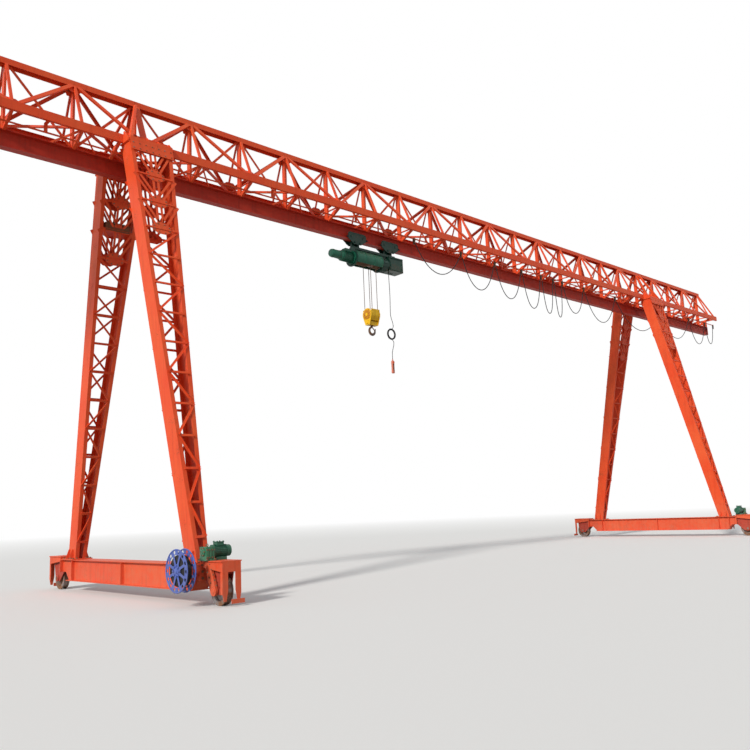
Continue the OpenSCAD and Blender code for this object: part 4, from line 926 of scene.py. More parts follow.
def leg_plane(face, rows=(0, 1, 2)):
    """The bars of one lattice plane of a leg, on its front when face is -1, and its bolts: ties, diagonals,
    twin flats, and plates on the given rows. Each kind lies at its own depth."""
    out = face * Y
    tie_y, slope_y, flat_y, plate_y = face * (LEG_HALF_DEPTH + np.array([0.016, 0.013, 0.005, 0.01]))
    w = half_width(tie_at) - 0.05
    ties = bars(angle(0.056, 0.032, 0.006), xyz(-w, tie_y, tie_at), xyz(w, tie_y, tie_at), out)
    rise = np.where(np.arange(ZIG_PANELS) % 2 == 0, 1.0, -1.0) * face
    low, high = tie_at[:ZIG_PANELS], tie_at[1 : ZIG_PANELS + 1]
    slopes = bars(angle(0.05, 0.026, 0.005), xyz(-rise * (half_width(low) - INSET), slope_y, low),
                  xyz(rise * (half_width(high) - INSET), slope_y, high), out)
    low = tie_at[ZIG_PANELS:]
    high = np.append(low[1:], LEG_LEN)
    flats = []
    for lean_to in (-1, 0, 1):
        a = xyz(0.0, flat_y, low)
        b = xyz(lean_to * (half_width(high) - INSET), flat_y, high)
        across = 0.058 * unit(np.cross(b - a, Y))
        flats += [bars(flat(0.054, 0.01), a + s * across, b + s * across, out) for s in (-1, 1)]
    plate_at = xyz(0.0, plate_y, low[list(rows)])
    plate_face = plate_at + 0.009 * out
    plates = bars(polygon(8, 0.155) * [1.6, 1.0], plate_at, plate_face, Z)
    rim = np.radians(np.arange(8) * 45.0 + 22.5)
    bolt_at = plate_face[:, None] + xyz(0.2 * np.cos(rim), 0, 0.115 * np.sin(rim))
    return [ties, slopes, *flats, plates], [scatter(BOLT, bolt_at.reshape(-1, 3), out, up=Z)]


def leg_set(inner_rows=(0, 1, 2)):
    """Both planes of one leg: its bars and its bolts."""
    front_bars, front_bolts = leg_plane(-1)
    back_bars, back_bolts = leg_plane(1, inner_rows)
    return joined(front_bars + back_bars), joined(front_bolts + back_bolts)


whole_leg, leg_by_box = leg_set(), leg_set(inner_rows=(0, 2))
legs = {(-1, -1): whole_leg, (-1, 1): leg_by_box, (1, -1): whole_leg, (1, 1): whole_leg}
for name, end in (("left", -1), ("right", 1)):
    pair = [stand(legs[end, s][0], s, end) for s in (-1, 1)]
    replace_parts(piece(f"leg_bracing_{name}", "frame", RED, pair), f"leg_lattice_{name}")
piece("leg_plate_bolts", "frame", BOLT_STEEL,
      [stand(solids[1], s, end) for (end, s), solids in legs.items()])

# %% [markdown]
# ## Leg heads
# Each leg ends under a head plate that carries the side chord. A panel and five
# brackets stand on the plate, a bent apron hides the ends of the lattice bars, and a
# tapered haunch rakes up from the outer end to the top chord. Every one of them is a
# flat outline in the (y, z) plane, pushed along X, or a loft between level quads.

# %% Leg heads
HEAD_OUT, HEAD_IN = 0.895, 0.45
PANEL_Y = 0.62
PANEL_OUT = PANEL_Y + 0.016
PANEL_TOP = 10.44
APRON_LOW, APRON_TOP = 9.925, 10.262
APRON_GAP = 0.04


def leg_face(z):
    """How far out the leg's outer face is at the height z."""
    return LEG_HEAD_Y + ((LEG_TOP - z) * LEAN_SIN + LEG_HALF_DEPTH) / LEAN_COS


def pushed(outline, x0, x1):
    """A (y, z) outline, given anticlockwise as seen from +X, pushed from x0 to x1."""
    return bars(outline, [[x0, 0, 0]], [[x1, 0, 0]], Z)


apron_z = np.array([APRON_LOW, LEG_TOP, APRON_TOP])
apron_y = leg_face(np.minimum(apron_z, LEG_TOP)) + [APRON_GAP, APRON_GAP, 0.028]
apron = np.concatenate([np.stack([-apron_y, apron_z], 1)[::-1], np.stack([0.01 - apron_y, apron_z], 1)])
bracket = [[-PANEL_OUT, CHORD_Z], [-PANEL_OUT, PANEL_TOP], [-PANEL_OUT - 0.04, PANEL_TOP],
           [-HEAD_OUT, CHORD_Z + 0.03], [-HEAD_OUT, CHORD_Z]]
haunch_z = np.array([CHORD_Z, PANEL_TOP, TOP_Z])
haunch_in = np.array([PANEL_OUT, PANEL_OUT, 0.13])
haunch_out = np.interp(haunch_z, [CHORD_Z, TOP_Z], [HEAD_OUT, 0.215])
haunch_x = np.interp(haunch_z, [CHORD_Z, TOP_Z], [-0.5, -0.06])
quad = ((-0.03, haunch_out), (0.03, haunch_out), (0.03, haunch_in), (-0.03, haunch_in))
head = joined([
    box([-HEAD_HALF, -HEAD_OUT, LEG_TOP], [HEAD_HALF, -HEAD_IN, CHORD_Z]),
    box([-HEAD_HALF, -PANEL_OUT, CHORD_Z], [HEAD_HALF, -PANEL_Y, PANEL_TOP]),
    pushed(apron, -0.53, 0.53),
    *(pushed(bracket, x, x + 0.012) for x in np.linspace(-HEAD_HALF, HEAD_HALF - 0.012, 5)),
    skin(np.stack([xyz(haunch_x + x, -y, haunch_z) for x, y in quad], 1)),
])
plated_heads = at_corners(moved(head, LEG_X * X))
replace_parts(piece("leg_heads_plated", "frame", RED, [plated_heads]), "leg_heads")
apron_x, apron_row = np.tile(np.linspace(-0.47, 0.47, 7), 2), LEG_TOP - np.repeat([0.19, 0.05], 7)
apron_bolts = xyz(LEG_X + apron_x, -leg_face(apron_row) - APRON_GAP, apron_row)

# %% [markdown]
# ## Resistor box
# The rusty box on the shelf of the left back leg holds the starting resistors: a sheet body with a
# lip, slanted louvres on its front, lifting lugs and two rows of green resistor grids on its top.

# %% Resistor box
CASE_LOW, CASE_HIGH = np.array([-12.31, 0.80, 8.5705]), np.array([-11.69, 1.105, 8.75])
LUG_X = (-12.25, -11.75)
LUG_Z = (8.735, 8.79)
GRID_Z = (8.758, 8.80)
rusty = [box(CASE_LOW, CASE_HIGH), box(CASE_LOW + [-0.012, -0.012, 0.168], CASE_HIGH + [0.012, 0.004, 0.008])]
slat = pushed([[0, 0], [0.016, -0.012], [0.016, 0.004], [0, 0.014]], CASE_LOW[0] + 0.03, CASE_HIGH[0] - 0.03)
rusty.extend(moved(slat, [0, CASE_LOW[1] - 0.016, CASE_LOW[2] + 0.022 + 0.027 * i]) for i in range(5))
rusty.extend(box([x - 0.012, CASE_LOW[1] - 0.01, LUG_Z[0]], [x + 0.012, CASE_LOW[1] + 0.02, LUG_Z[1]])
             for x in LUG_X)
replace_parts(piece("resistor_case", "frame", RUST, rusty), "resistor_box")
grids = [box([x - 0.017, y - 0.055, GRID_Z[0]], [x + 0.017, y + 0.055, GRID_Z[1]])
         for x in np.linspace(-12.22, -11.78, 9) for y in (0.88, 1.02)]
piece("resistor_grids", "frame", PALE_GREEN, grids)

# %% [markdown]
# ## Bolted joints
# Heavy bolts hold the leg feet to the base beams, the yokes to the beams' end plates and the
# heads under the girder. Their places are small grids, mirrored to all four corners of the crane.

# %% Joint bolts
def grid(xs, ys, z):
    """Every pair of x and y at one height."""
    x, y = np.meshgrid(xs, ys)
    return xyz(x.ravel(), y.ravel(), z)


foot_bolts = grid(LEG_X + np.array([-0.21, -0.12, 0.12, 0.21]), [-3.095, -2.565], LEG_FOOT[2])
side_bolts = grid(LEG_X + np.array([-0.215, 0.215]), [-2.95, -2.83, -2.71], LEG_FOOT[2])
head_bolts = grid(LEG_X + np.linspace(-0.5, 0.5, 6), [-0.85], LEG_TOP)
end_bolts = grid(LEG_X + np.array([-0.19, -0.08, 0.08, 0.19]), [0.5, 0.62, 0.74], -3.332)[:, [0, 2, 1]]
corner_bolts = joined([scatter(BIG_BOLT, np.concatenate([foot_bolts, side_bolts]), Z),
                       scatter(BIG_BOLT, head_bolts, -Z), scatter(BIG_BOLT, end_bolts, -Y),
                       scatter(BOLT, apron_bolts, -Y)])
piece("joint_bolts", "frame", BOLT_STEEL, [at_corners(corner_bolts)])

# %% [markdown]
# ## Wire ropes
# Four falls hold the hook block. A wire rope has six strands laid round a core, so its section is a
# six-lobed rose that turns as it runs: radius R (0.87 + 0.13 |cos 3(a - 2 pi s / lay)|). The falls stretch
# between the hoist and the block when the hook moves, so they ride on neither body and stay where they are
# made.

# %% Rope falls
ROPE_R = 0.009
ROPE_LAY = 0.16
FALL_X = HOIST_X + 0.125
SHEAVE_OUT = 0.11
FALL_Y = 0.1593
DRUM_Z = 9.03
BLOCK_Z = 7.37


def distance_run(path):
    """How far along a path each of its points lies: the running sum of its steps."""
    return np.concatenate([[0], np.cumsum(np.linalg.norm(np.diff(path, axis=0), axis=1))])


def laid_rope(path, up, corners=24):
    """A rope of six strands along a path: the ring's radius has six lobes, turned by the distance run."""
    lobes = np.abs(np.cos(3 * (full_turn(corners) - 2 * np.pi * distance_run(path)[:, None] / ROPE_LAY)))
    return tube(path, ROPE_R * (0.87 + 0.13 * lobes), corners, up)


block_at = np.array([FALL_X, 0.0, BLOCK_Z])
drop = np.linspace(DRUM_Z, BLOCK_Z, 90)
falls = [laid_rope(xyz(FALL_X + sx * SHEAVE_OUT, sy * FALL_Y, drop), X) for sx in (-1, 1) for sy in (-1, 1)]
rope_falls = piece("rope_falls", None, ROPE, falls, smooth=60)
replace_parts(rope_falls, "hoist_ropes")
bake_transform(rope_falls)

under = block_at + round_x(FALL_Y, -np.linspace(0, np.pi, 30))
sheave_ropes = [laid_rope(under + s * SHEAVE_OUT * X, X, 16) for s in (-1, 1)]
piece("sheave_ropes", "block", ROPE, sheave_ropes, smooth=60)

# %% [markdown]
# ## Rope on the drum
# The rope is wound in a helix on each end of the drum: x runs on by one rope width in each turn.

# %% Drum winding
DRUM_X = HOIST_X - 0.56
DRUM_LEN = 1.02


def winding(x0, x1):
    """A helix of rope round the drum's axis: angle t, x = x0 + pitch t / 2 pi."""
    pitch = 2 * ROPE_R + 0.001
    turns = int((x1 - x0) / pitch)
    t = np.linspace(0, 2 * np.pi * turns, 26 * turns + 1)
    path = xyz(x0 + pitch * t / (2 * np.pi), FALL_Y * np.sin(t), DRUM_Z + FALL_Y * np.cos(t))
    return tube(path, ROPE_R, 6, X)


wound = [winding(DRUM_X + 0.03, FALL_X - SHEAVE_OUT), winding(FALL_X + SHEAVE_OUT, DRUM_X + DRUM_LEN)]
piece("drum_winding", "hoist", ROPE, wound, smooth=60)

# %% [markdown]
# ## Hook
# The hook is forged from one bar: a round shank, a neck, a bowl that is thickest at its lowest point,
# and a slim point that turns outwards. Its middle line is a shank and an arc softened into each other,
# and its radius is interpolated along that line; the section is a little flat across, as a forging is.

# %% Hook
STEP = 0.005


def evenly(path, step):
    """The same path with its points a fixed distance apart."""
    run = distance_run(path)
    at = np.linspace(0, run[-1], int(run[-1] / step) + 1)
    return np.stack([np.interp(at, run, path[:, i]) for i in range(path.shape[1])], 1)


def softened(path, width):
    """Each point becomes the bell-weighted mean of its neighbours; the path is held at its two ends."""
    reach = int(1.5 * width / STEP)
    bell = np.exp(-0.5 * (np.arange(-reach, reach + 1) * 2 * STEP / width) ** 2)
    bell /= bell.sum()
    wide = np.pad(path, ((reach, reach), (0, 0)), mode="edge")
    return np.stack([np.convolve(wide[:, i], bell, "valid") for i in range(path.shape[1])], 1)


BOWL = np.array([FALL_X, 0.0, 6.888])
BOWL_R = 0.111
SHANK_TOP = 7.213
THICK_AT = [0, 0.2, 0.3, 0.42, 0.6, 0.72, 0.85, 0.95, 1]
THICK_MM = [32, 31, 30, 34, 41, 40, 32, 20, 12]
turn = np.radians(np.linspace(112, 352, 90))
tip = np.linspace(0, 1, 16)[1:]
drawn = np.concatenate([
    xyz(0, 0, np.linspace(SHANK_TOP - BOWL[2], 0.145, 30)),
    xyz(BOWL_R * np.cos(turn), 0, BOWL_R * np.sin(turn)),
    xyz(BOWL_R * 0.99 + 0.028 * tip**1.5, 0, -0.0154 + 0.09 * tip),
])
middle_line = softened(evenly(drawn, STEP), 0.008)
thick = np.interp(np.linspace(0, 1, len(middle_line)), THICK_AT, THICK_MM) / 1000
forging = tube(BOWL + middle_line, thick, 24, Y, squeeze=0.84)
nut = bars(polygon(6, 0.056), BOWL + [0, 0, 0.2755], BOWL + [0, 0, 0.3205], X)
collar = turned([[0.045, 0], [0.05, 0.004], [0.05, 0.012], [0.045, 0.016]], BOWL + [0, 0, 0.149])
latch_a, latch_b = BOWL + [-0.01, 0, 0.125], BOWL + [0.098, 0, 0.03]
latch = bars(channel(0.03, 0.014, 0.003), latch_a, latch_b, [0.5, 0, 1])
pin = turned([[0.006, -0.034], [0.006, 0.034]], latch_a, Y, 12)
hook = piece("forged_hook", "hook", DARK_STEEL, [forging, nut, collar, latch, pin], smooth=40)
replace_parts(hook, "hook")
print("hook:", hook.dimensions)

# %% [markdown]
# ## Hook block fittings
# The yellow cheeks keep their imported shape. Nuts on the sheaves' axle, a row of bolts
# round each cheek and two stiffening straps make them what they are: plates bolted over
# a pair of sheaves. Bent guards close the gap between the cheeks at the front and the
# back, where the ropes run in, and a ribbed cover of darker yellow lies on each cheek.

# %% Hook block fittings
CHEEK_OUT = 0.18
GUARD_R, GUARD_T = 0.175, 0.006
GUARD_TOP = 0.155
rim_bolts = round_x(0.168, np.radians([20, 60, 120, 160, 215, 325]))
cover_ribs = ring_of(9, 1.0)
fittings, covers = [], []
for s in (-1, 1):
    face = block_at + s * CHEEK_OUT * X
    fittings += [
        bars(polygon(6, 0.052), face, face + s * 0.026 * X, Z),
        scatter(BOLT, face + rim_bolts, s * X),
        bars(flat(0.07, 0.008), face + [s * 0.004, 0, -0.06], face + [s * 0.004, 0, -0.31], X),
        scatter(BIG_BOLT, face + [s * 0.008, 0, -0.26], s * X),
    ]
    rib_in, rib_out = face + 0.065 * cover_ribs + s * 0.018 * X, face + 0.135 * cover_ribs + s * 0.014 * X
    covers += [turned([[0.152, 0], [0.152, 0.006], [0.14, 0.014], [0.06, 0.016]], face, s * X, 48),
               bars(flat(0.02, 0.01), rib_in, rib_out, X)]
piece("block_fittings", "block", YELLOW, fittings)

wrap = np.radians(np.linspace(-60, 0, 9))
guard_in, guard_out = polar(GUARD_R, wrap), polar(GUARD_R + GUARD_T, wrap)
guard_ends = [[GUARD_R + GUARD_T, GUARD_TOP], [GUARD_R, GUARD_TOP]]
guard_outline = np.concatenate([guard_out, guard_ends, guard_in[::-1]])
guard_bolts = xyz(np.tile([-0.14, 0.14], 2), GUARD_R + GUARD_T, np.repeat([0.03, 0.13], 2))
guard = moved(joined([pushed(guard_outline, -0.168, 0.168), scatter(BOLT, guard_bolts, Y)]), block_at)
piece("sheave_guards", "block", YELLOW, [guard, mirrored(guard, 1)], smooth=35)
piece("sheave_covers", "block", OCHRE, covers, smooth=35)

# %% [markdown]
# ## Hoist motor
# A cast motor body has thin cooling fins all round, a flange towards the
# drum, a slimmer banded housing at its tail and a terminal box on top. The
# body is turned from a profile; the fins are one bar repeated round the axis.

# %% Hoist motor
axis_at = np.array([DRUM_X - 0.02, 0.0, DRUM_Z])
body_profile = [[0.2, 0], [0.2, 0.025], [0.15, 0.03], [0.15, 0.39], [0.148, 0.44], [0.132, 0.46],
                [0.125, 0.47], [0.12, 0.79], [0.105, 0.82], [0.06, 0.829]]
radial = ring_of(36, 1.0)
fin_at = axis_at + 0.155 * radial
motor_parts = [
    turned(body_profile, axis_at, -X, 56),
    bars(flat(0.004, 0.022), fin_at - 0.028 * X, fin_at - 0.385 * X, radial),
    turned(hoop(0.151, 0.166, 0.385, 0.4), axis_at, -X, 56, ring=True),
    turned(hoop(0.12, 0.128, 0.5, 0.52), axis_at, -X, 48, ring=True),
    turned(hoop(0.12, 0.127, 0.72, 0.75), axis_at, -X, 48, ring=True),
    scatter(BIG_BOLT, axis_at + 0.184 * radial[::4] - 0.025 * X, -X),
    box(axis_at + [-0.3, -0.075, 0.15], axis_at + [-0.12, 0.075, 0.215]),
    box(axis_at + [-0.31, -0.082, 0.215], axis_at + [-0.11, 0.082, 0.226]),
]
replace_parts(piece("hoist_motor_body", "hoist", GREEN, motor_parts, smooth=30), "hoist_motor")

# %% [markdown]
# ## Drum shell and gearbox fittings
# Rolled bands stiffen the shell at both ends and in the
# middle; the gearbox cover has ribs and a ring of bolts.

# %% Shell bands and gearbox ribs
SHELL_R = 0.255
BAND = np.array([[0, 0], [0.03, 0], [0.03, 0.008], [0, 0.008]])
FOOT_Y = 0.225
arc = np.radians(np.linspace(-38, 218, 60))
band_from, band_to = round_x(SHELL_R, arc[:-1]), round_x(SHELL_R, arc[1:])
band_out = round_x(1.0, (arc[1:] + arc[:-1]) / 2)
shell_parts = []
for x in (0.05, 0.36, 0.7, DRUM_LEN):
    at = np.array([DRUM_X + x, 0.0, DRUM_Z])
    shell_parts.append(bars(BAND, at + band_from, at + band_to, band_out))
    shell_parts += [box(at + [-0.03, y - 0.016, -0.15], at + [0, y + 0.016, -0.128])
                    for y in (-FOOT_Y, FOOT_Y)]
piece("shell_bands", "hoist", GREEN, shell_parts)

gear_at = np.array([DRUM_X + 1.06, 0.0, DRUM_Z])
gear_ribs = bars(flat(0.012, 0.03), gear_at + ring_of(12, 0.235) + 0.03 * X,
                 gear_at + ring_of(12, 0.222) + 0.24 * X, ring_of(12, 1.0))
gear_bolts = scatter(BIG_BOLT, gear_at + ring_of(12, 0.237) + 0.03 * X, X)
piece("gearbox_ribs", "hoist", DARK_GREEN, [gear_ribs, gear_bolts])

# %% [markdown]
# ## Control box fittings
# The switchgear box has a door with hinges, two handles, a rain lip, louvres on its end and
# glands underneath. One conduit runs from its top along the frame to the hoist motor's box.

# %% Control box fittings
BOX_X0, BOX_X1 = HOIST_X + 0.8, HOIST_X + 1.39
BOX_Z0, BOX_Z1 = DRUM_Z - 0.18, 9.3
DOOR_Y = -0.206
hinge = turned([[0.009, 0], [0.009, 0.07]], corners=12)
handle = joined([turned([[0.014, 0], [0.014, 0.012]], corners=16),
                 box([-0.008, -0.05, 0.012], [0.008, 0.012, 0.022])])
gland = turned([[0.02, 0], [0.02, 0.012], [0.014, 0.014], [0.013, 0.035]], corners=16)
louvre = bars([[0, 0], [0.014, 0.0], [0.0, 0.022]], -0.1 * Y, 0.1 * Y, Z)
parts = [
    box([BOX_X0 + 0.02, -0.215, BOX_Z1 - 0.05], [BOX_X1 - 0.02, -0.19, BOX_Z1 - 0.038]),
    scatter(hinge, xyz(BOX_X0 + 0.04, DOOR_Y, BOX_Z0 + np.array([0.05, 0.16, 0.27])), Z),
    scatter(handle, xyz(BOX_X1 - 0.075, DOOR_Y, BOX_Z0 + np.array([0.12, 0.26])), -Y, up=Z),
    scatter(gland, xyz(BOX_X0 + np.array([0.2, 0.28, 0.36]), 0.08, BOX_Z0), -Z),
    *(moved(louvre, [BOX_X1, 0, z]) for z in BOX_Z0 + 0.12 + 0.035 * np.arange(6)),
]
piece("box_fittings", "hoist", DARK_GREEN, parts, smooth=35)

conduit_x = np.array([BOX_X0 + 0.2, BOX_X0 + 0.19, BOX_X0 + 0.14, -5.1, -5.16, -5.2, -5.21])
conduit_z = [9.29, 9.312, 9.318, 9.318, 9.3, 9.25, 9.2]
conduit = tube(xyz(conduit_x, np.interp(conduit_x, [-5.21, -5.1], [0.06, 0.08]), conduit_z), 0.011, 8)
piece("frame_conduit", "hoist", RUBBER, [conduit], smooth=60)

# %% [markdown]
# ## Trolley fittings
# Each trolley is two plates bolted through, with rubber
# buffers at its ends and the ends of the wheel axles showing.

# %% Trolley fittings
PLATE_Y = 0.134
TROLLEYS = HOIST_X + np.array([-0.44, 0.92])
WHEEL_Z, PIN_Z, RIM_Z, BUFFER_Z = 9.6593, 9.49, 9.75, 9.62
axle_cap = turned([[0.045, 0], [0.045, 0.008], [0.03, 0.016], [0.012, 0.018]], corners=24)
buffer = turned([[0.03, 0], [0.03, 0.01], [0.024, 0.03], [0.024, 0.05], [0.016, 0.056]], corners=20)


def on_plates(offsets, y, z):
    """Places at the same offsets along both trolleys."""
    return xyz((TROLLEYS[:, None] + offsets).ravel(), y, z)


trolley_bits, buffers = [], []
for s in (-1, 1):
    trolley_bits += [
        scatter(axle_cap, on_plates([-0.2304, 0.2304], s * PLATE_Y, WHEEL_Z), s * Y),
        scatter(BIG_BOLT, on_plates([-0.1, 0.1], s * (PLATE_Y + 0.005), PIN_Z), s * Y),
        scatter(BOLT, on_plates([-0.31, -0.12, 0.12, 0.31], s * PLATE_Y, RIM_Z), s * Y),
    ]
    buffers += [scatter(buffer, on_plates([e * 0.36], s * (PLATE_Y - 0.008), BUFFER_Z), e * X)
                for e in (-1, 1)]
piece("trolley_fittings", "hoist", DARK_GREEN, trolley_bits, smooth=35)
piece("trolley_buffers", "hoist", RUBBER, buffers, smooth=35)

# %% [markdown]
# ## Cable reel
# The blue reel has two pressed flanges with a ring of lightening holes, flat spokes, a rolled rim and a
# hub on a stub shaft. A holed ring is many sectors side by side, and each of them is a plate with one
# round bore. Between the flanges lies the cable in neat rows, whose outline is a row of round humps.

# %% Reel flanges
REEL = np.array([-12.65, -3.34, 0.67])
REEL_HALF = 0.085
SMALL_CIRCLE = polar(1.0, full_turn(12))


def holed_ring(inner, outer, hole, count, thick):
    """A flat ring round X with one round hole in each of its sectors."""
    half = np.pi / count
    middle = (inner + outer) / 2
    a = np.linspace(-half, half, 9)
    edge_r = np.concatenate([np.full(9, outer), [middle], np.full(9, inner), [middle]])
    edge_a = np.concatenate([a, [half], a[::-1], [-half]])
    return joined([bored(polar(edge_r, edge_a + t), polar(middle, t), hole, -thick / 2, thick / 2)
                   for t in 2 * half * np.arange(count)])


flange = joined([
    holed_ring(0.292, 0.392, 0.034, 14, 0.007),
    turned([0.386, 0] + 0.014 * SMALL_CIRCLE, axis=X, corners=72, ring=True),
    bars(flat(0.05, 0.008), ring_of(8, 0.06, 0.5), ring_of(8, 0.3, 0.5), X),
    turned([[0.055, -0.006], [0.12, -0.006], [0.13, 0], [0.12, 0.006], [0.055, 0.006]], axis=X, corners=48,
           ring=True),
    scatter(BIG_BOLT, ring_of(8, 0.098) + 0.006 * X, X),
])
hub = [turned([[0.07, -0.1], [0.07, 0.1]], REEL, X, 40), turned([[0.03, 0.1], [0.03, 0.25]], REEL, X),
       turned([[0.045, 0.1], [0.045, 0.107], [0.03, 0.115]], REEL, -X)]
flanges = [moved(flange, REEL + REEL_HALF * X), moved(mirrored(flange, 0), REEL - REEL_HALF * X)]
reel = piece("reel_wheel", "cable_reel", BLUE, [*flanges, *hub], smooth=35)
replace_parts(reel, "cable_reel")

# %% Reel winding
CABLE_R = 0.0115
WINDING_R, CORE_R = 0.285, 0.071
CABLE_ROWS = 6
w = np.linspace(-CABLE_ROWS, CABLE_ROWS, CABLE_ROWS * 10 + 1)
hump = WINDING_R - CABLE_R + CABLE_R * np.sqrt(np.clip(1 - (np.mod(w, 2) - 1) ** 2, 0, 1))
rows_edge = np.stack([hump, CABLE_R * w], 1)
row_profile = np.concatenate([rows_edge[:1], rows_edge, rows_edge[-1:]])
row_profile[[0, -1], 0] = CORE_R
cable_rows = turned(row_profile, REEL, X, 64, ring=True)
reel_winding = piece("reel_winding", "cable_reel", RUBBER, [cable_rows], smooth=50)
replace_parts(reel_winding, "reel_cable_pack")

# %% [markdown]
# ## Travel drives
# Each front yoke carries a motor on a green reducer, and a red chain case runs down
# from it to the wheel's axle. The case is a slanted bar with a round foot, cut off
# level with the yoke's top, so its outline is a half circle between two straight
# sides. Both drives stand at mirrored places: the left one is made and then reflected.

# %% Travel drives
DRIVE = np.array([LEG_X, -3.44, 0.82])
DRIVE_Z = 0.165
AXLE_Y, AXLE_Z = -3.7, 0.28
RIB_X = (-0.21, -0.15, -0.09)
motor_at = DRIVE + DRIVE_Z * Z


def both_ends(solid):
    """A solid of the left support and its reflection on the right one."""
    return [solid, mirrored(solid, 0)]


cap_profile = [[0.08, 0], [0.08, 0.014], [0.062, 0.02], [0.03, 0.02], [0.028, 0.026]]
green_half = joined([
    box(DRIVE + [-0.24, -0.12, 0], DRIVE + [-0.06, 0.12, DRIVE_Z + 0.09]),
    *(box(DRIVE + [x - 0.006, -0.132, 0], DRIVE + [x + 0.006, 0.132, DRIVE_Z + 0.06]) for x in RIB_X),
    turned(cap_profile, motor_at - 0.24 * X, -X, 40),
    turned([0.022, 0] + 0.006 * SMALL_CIRCLE, motor_at + [-0.15, 0, 0.118], Y, 20, ring=True),
    box(DRIVE + [-0.255, -0.15, 0], DRIVE + [-0.045, 0.15, 0.018]),
])
reducers = piece("travel_reducer_cases", "frame", PALE_GREEN, both_ends(green_half), smooth=35)
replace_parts(reducers, "travel_reducers")

# %% Chain cases
CASE_X = DRIVE[0] - 0.145
CASE_FACE = CASE_X - 0.05
CASE_R, FOOT_R = 0.09, 0.095
CASE_TOP = DRIVE[2] + 0.001
axle_at = np.array([AXLE_Y, AXLE_Z])
down = unit(axle_at - [DRIVE[1], motor_at[2] - 0.06])
square = np.array([-down[1], down[0]])


def up_to_cut(point):
    """Where the line up the case from a (y, z) point meets the level cut."""
    return point + down * (CASE_TOP - point[1]) / down[1]


foot_arc = axle_at + polar(FOOT_R, np.linspace(0, np.pi, 21)) @ [square, down]
edge_back, edge_front = (up_to_cut(axle_at + s * CASE_R * square) for s in (1, -1))
case_outline = np.concatenate([[edge_front], foot_arc[::-1], [edge_back]])
hub_cap = turned([[0.055, 0], [0.055, 0.01], [0.045, 0.018], [0.012, 0.02]], [CASE_FACE, *axle_at], -X, 36)
red_half = joined([pushed(case_outline, CASE_FACE, CASE_X), hub_cap])
piece("chain_cases", "frame", RED, both_ends(red_half), smooth=35)

up_case = edge_back + np.linspace(0.05, 0.92, 6)[:, None] * (axle_at - edge_back)
rim_screws = np.concatenate([up_case - 0.016 * square, up_case - 0.164 * square])
screw_at = xyz(CASE_FACE, *rim_screws.T)

# %% [markdown]
# ## Travel motor fittings
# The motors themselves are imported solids. A wire guard over the fan at the tail, a
# lid on the terminal box, and the bolts of reducer and chain case are added to them.

# %% Travel motor fittings
tail_at = motor_at + 0.32 * X
cross_at = motor_at + 0.323 * X
drive_bits = joined([
    *(turned(hoop(r, r + 0.006, 0, 0.006), tail_at, X, ring=True) for r in (0.025, 0.045, 0.065, 0.085)),
    bars(flat(0.006, 0.006), cross_at + ring_of(4, 0.02), cross_at + ring_of(4, 0.1), X),
    box(DRIVE + [0.012, -0.078, 0.33], DRIVE + [0.178, 0.078, 0.34]),
    scatter(BOLT, DRIVE + grid([0.03, 0.16], [-0.06, 0.06], 0.34), Z),
])
piece("travel_motor_fittings", "frame", GREEN, both_ends(drive_bits))
side_x, side_z = np.repeat([-0.225, -0.18, -0.12, -0.075], 2), np.tile([0.06, 0.2], 4)
case_bolts = joined([
    *(scatter(BOLT, DRIVE + xyz(side_x, s * 0.12, side_z), s * Y) for s in (-1, 1)),
    scatter(BOLT, motor_at - 0.254 * X + ring_of(6, 0.07), -X),
    scatter(BIG_BOLT, DRIVE + grid([-0.235, -0.065], [-0.138, 0.138], 0.018), Z),
    scatter(BOLT, screw_at, -X),
])
piece("reducer_bolts", "frame", BOLT_STEEL, both_ends(case_bolts))

# %% [markdown]
# ## End yokes
# Each wheel runs in a yoke at the end of its base beam. Two hanger plates carry the axle in their
# bosses, and round them stands an open portal as wide as the beam: a top plate, two shallow skirts, two
# corner posts and a bar that sweeps the rail. A hanger plate is bored as the reel's sectors are, with
# its edge cut into short steps first. One yoke is made and then reflected to the other three corners.

# %% End yokes
YOKE_AT = np.array([LEG_X, 3.316, 0.0])
YOKE_LEN = 0.72
BEAM_LOW = 0.446
YOKE_TOP, PLATE_LOW = 0.82, 0.8
SKIN = 0.014
BORE_R = 0.0405
AXLE_AT = np.array([-AXLE_Y - YOKE_AT[1], AXLE_Z])


def stepped(outline, steps=8):
    """An outline with every side cut into equal steps."""
    sides = zip(outline, np.roll(outline, -1, 0))
    return np.concatenate([np.linspace(a, b, steps, endpoint=False) for a, b in sides])


hanger = stepped([[0, BEAM_LOW], [0.264, 0.21], [0.504, 0.21], [0.6, 0.58], [0.6, PLATE_LOW], [0, PLATE_LOW]])
boss_profile = [[BORE_R, 0], [0.084, 0], [0.084, 0.024], [0.078, 0.03], [BORE_R, 0.03]]
boss = turned(boss_profile, [0.12, *AXLE_AT], X, 48, ring=True)
axle_plates = [*(bored(hanger, AXLE_AT, BORE_R, x, x + 0.02) for x in (-0.12, 0.1)), boss, mirrored(boss, 0),
               box([-0.1, 0.588, 0.58], [0.1, 0.6, PLATE_LOW])]
half_portal = np.array([[0.08, 0.62], [0.08, 0.3], [0.12, 0.1], [0.17, 0.1], [0.2, 0.25], [0.2, PLATE_LOW]])
portal_outline = np.concatenate([(half_portal * [-1, 1])[::-1], half_portal])
front_in = YOKE_LEN - SKIN
skirt = pushed([[0.02, 0.7], [front_in, 0.62], [front_in, PLATE_LOW], [0.02, PLATE_LOW]], -0.2, -0.188)
side = joined([skirt, box([-0.2, front_in - 0.06, 0.22], [-0.188, front_in, 0.62])])
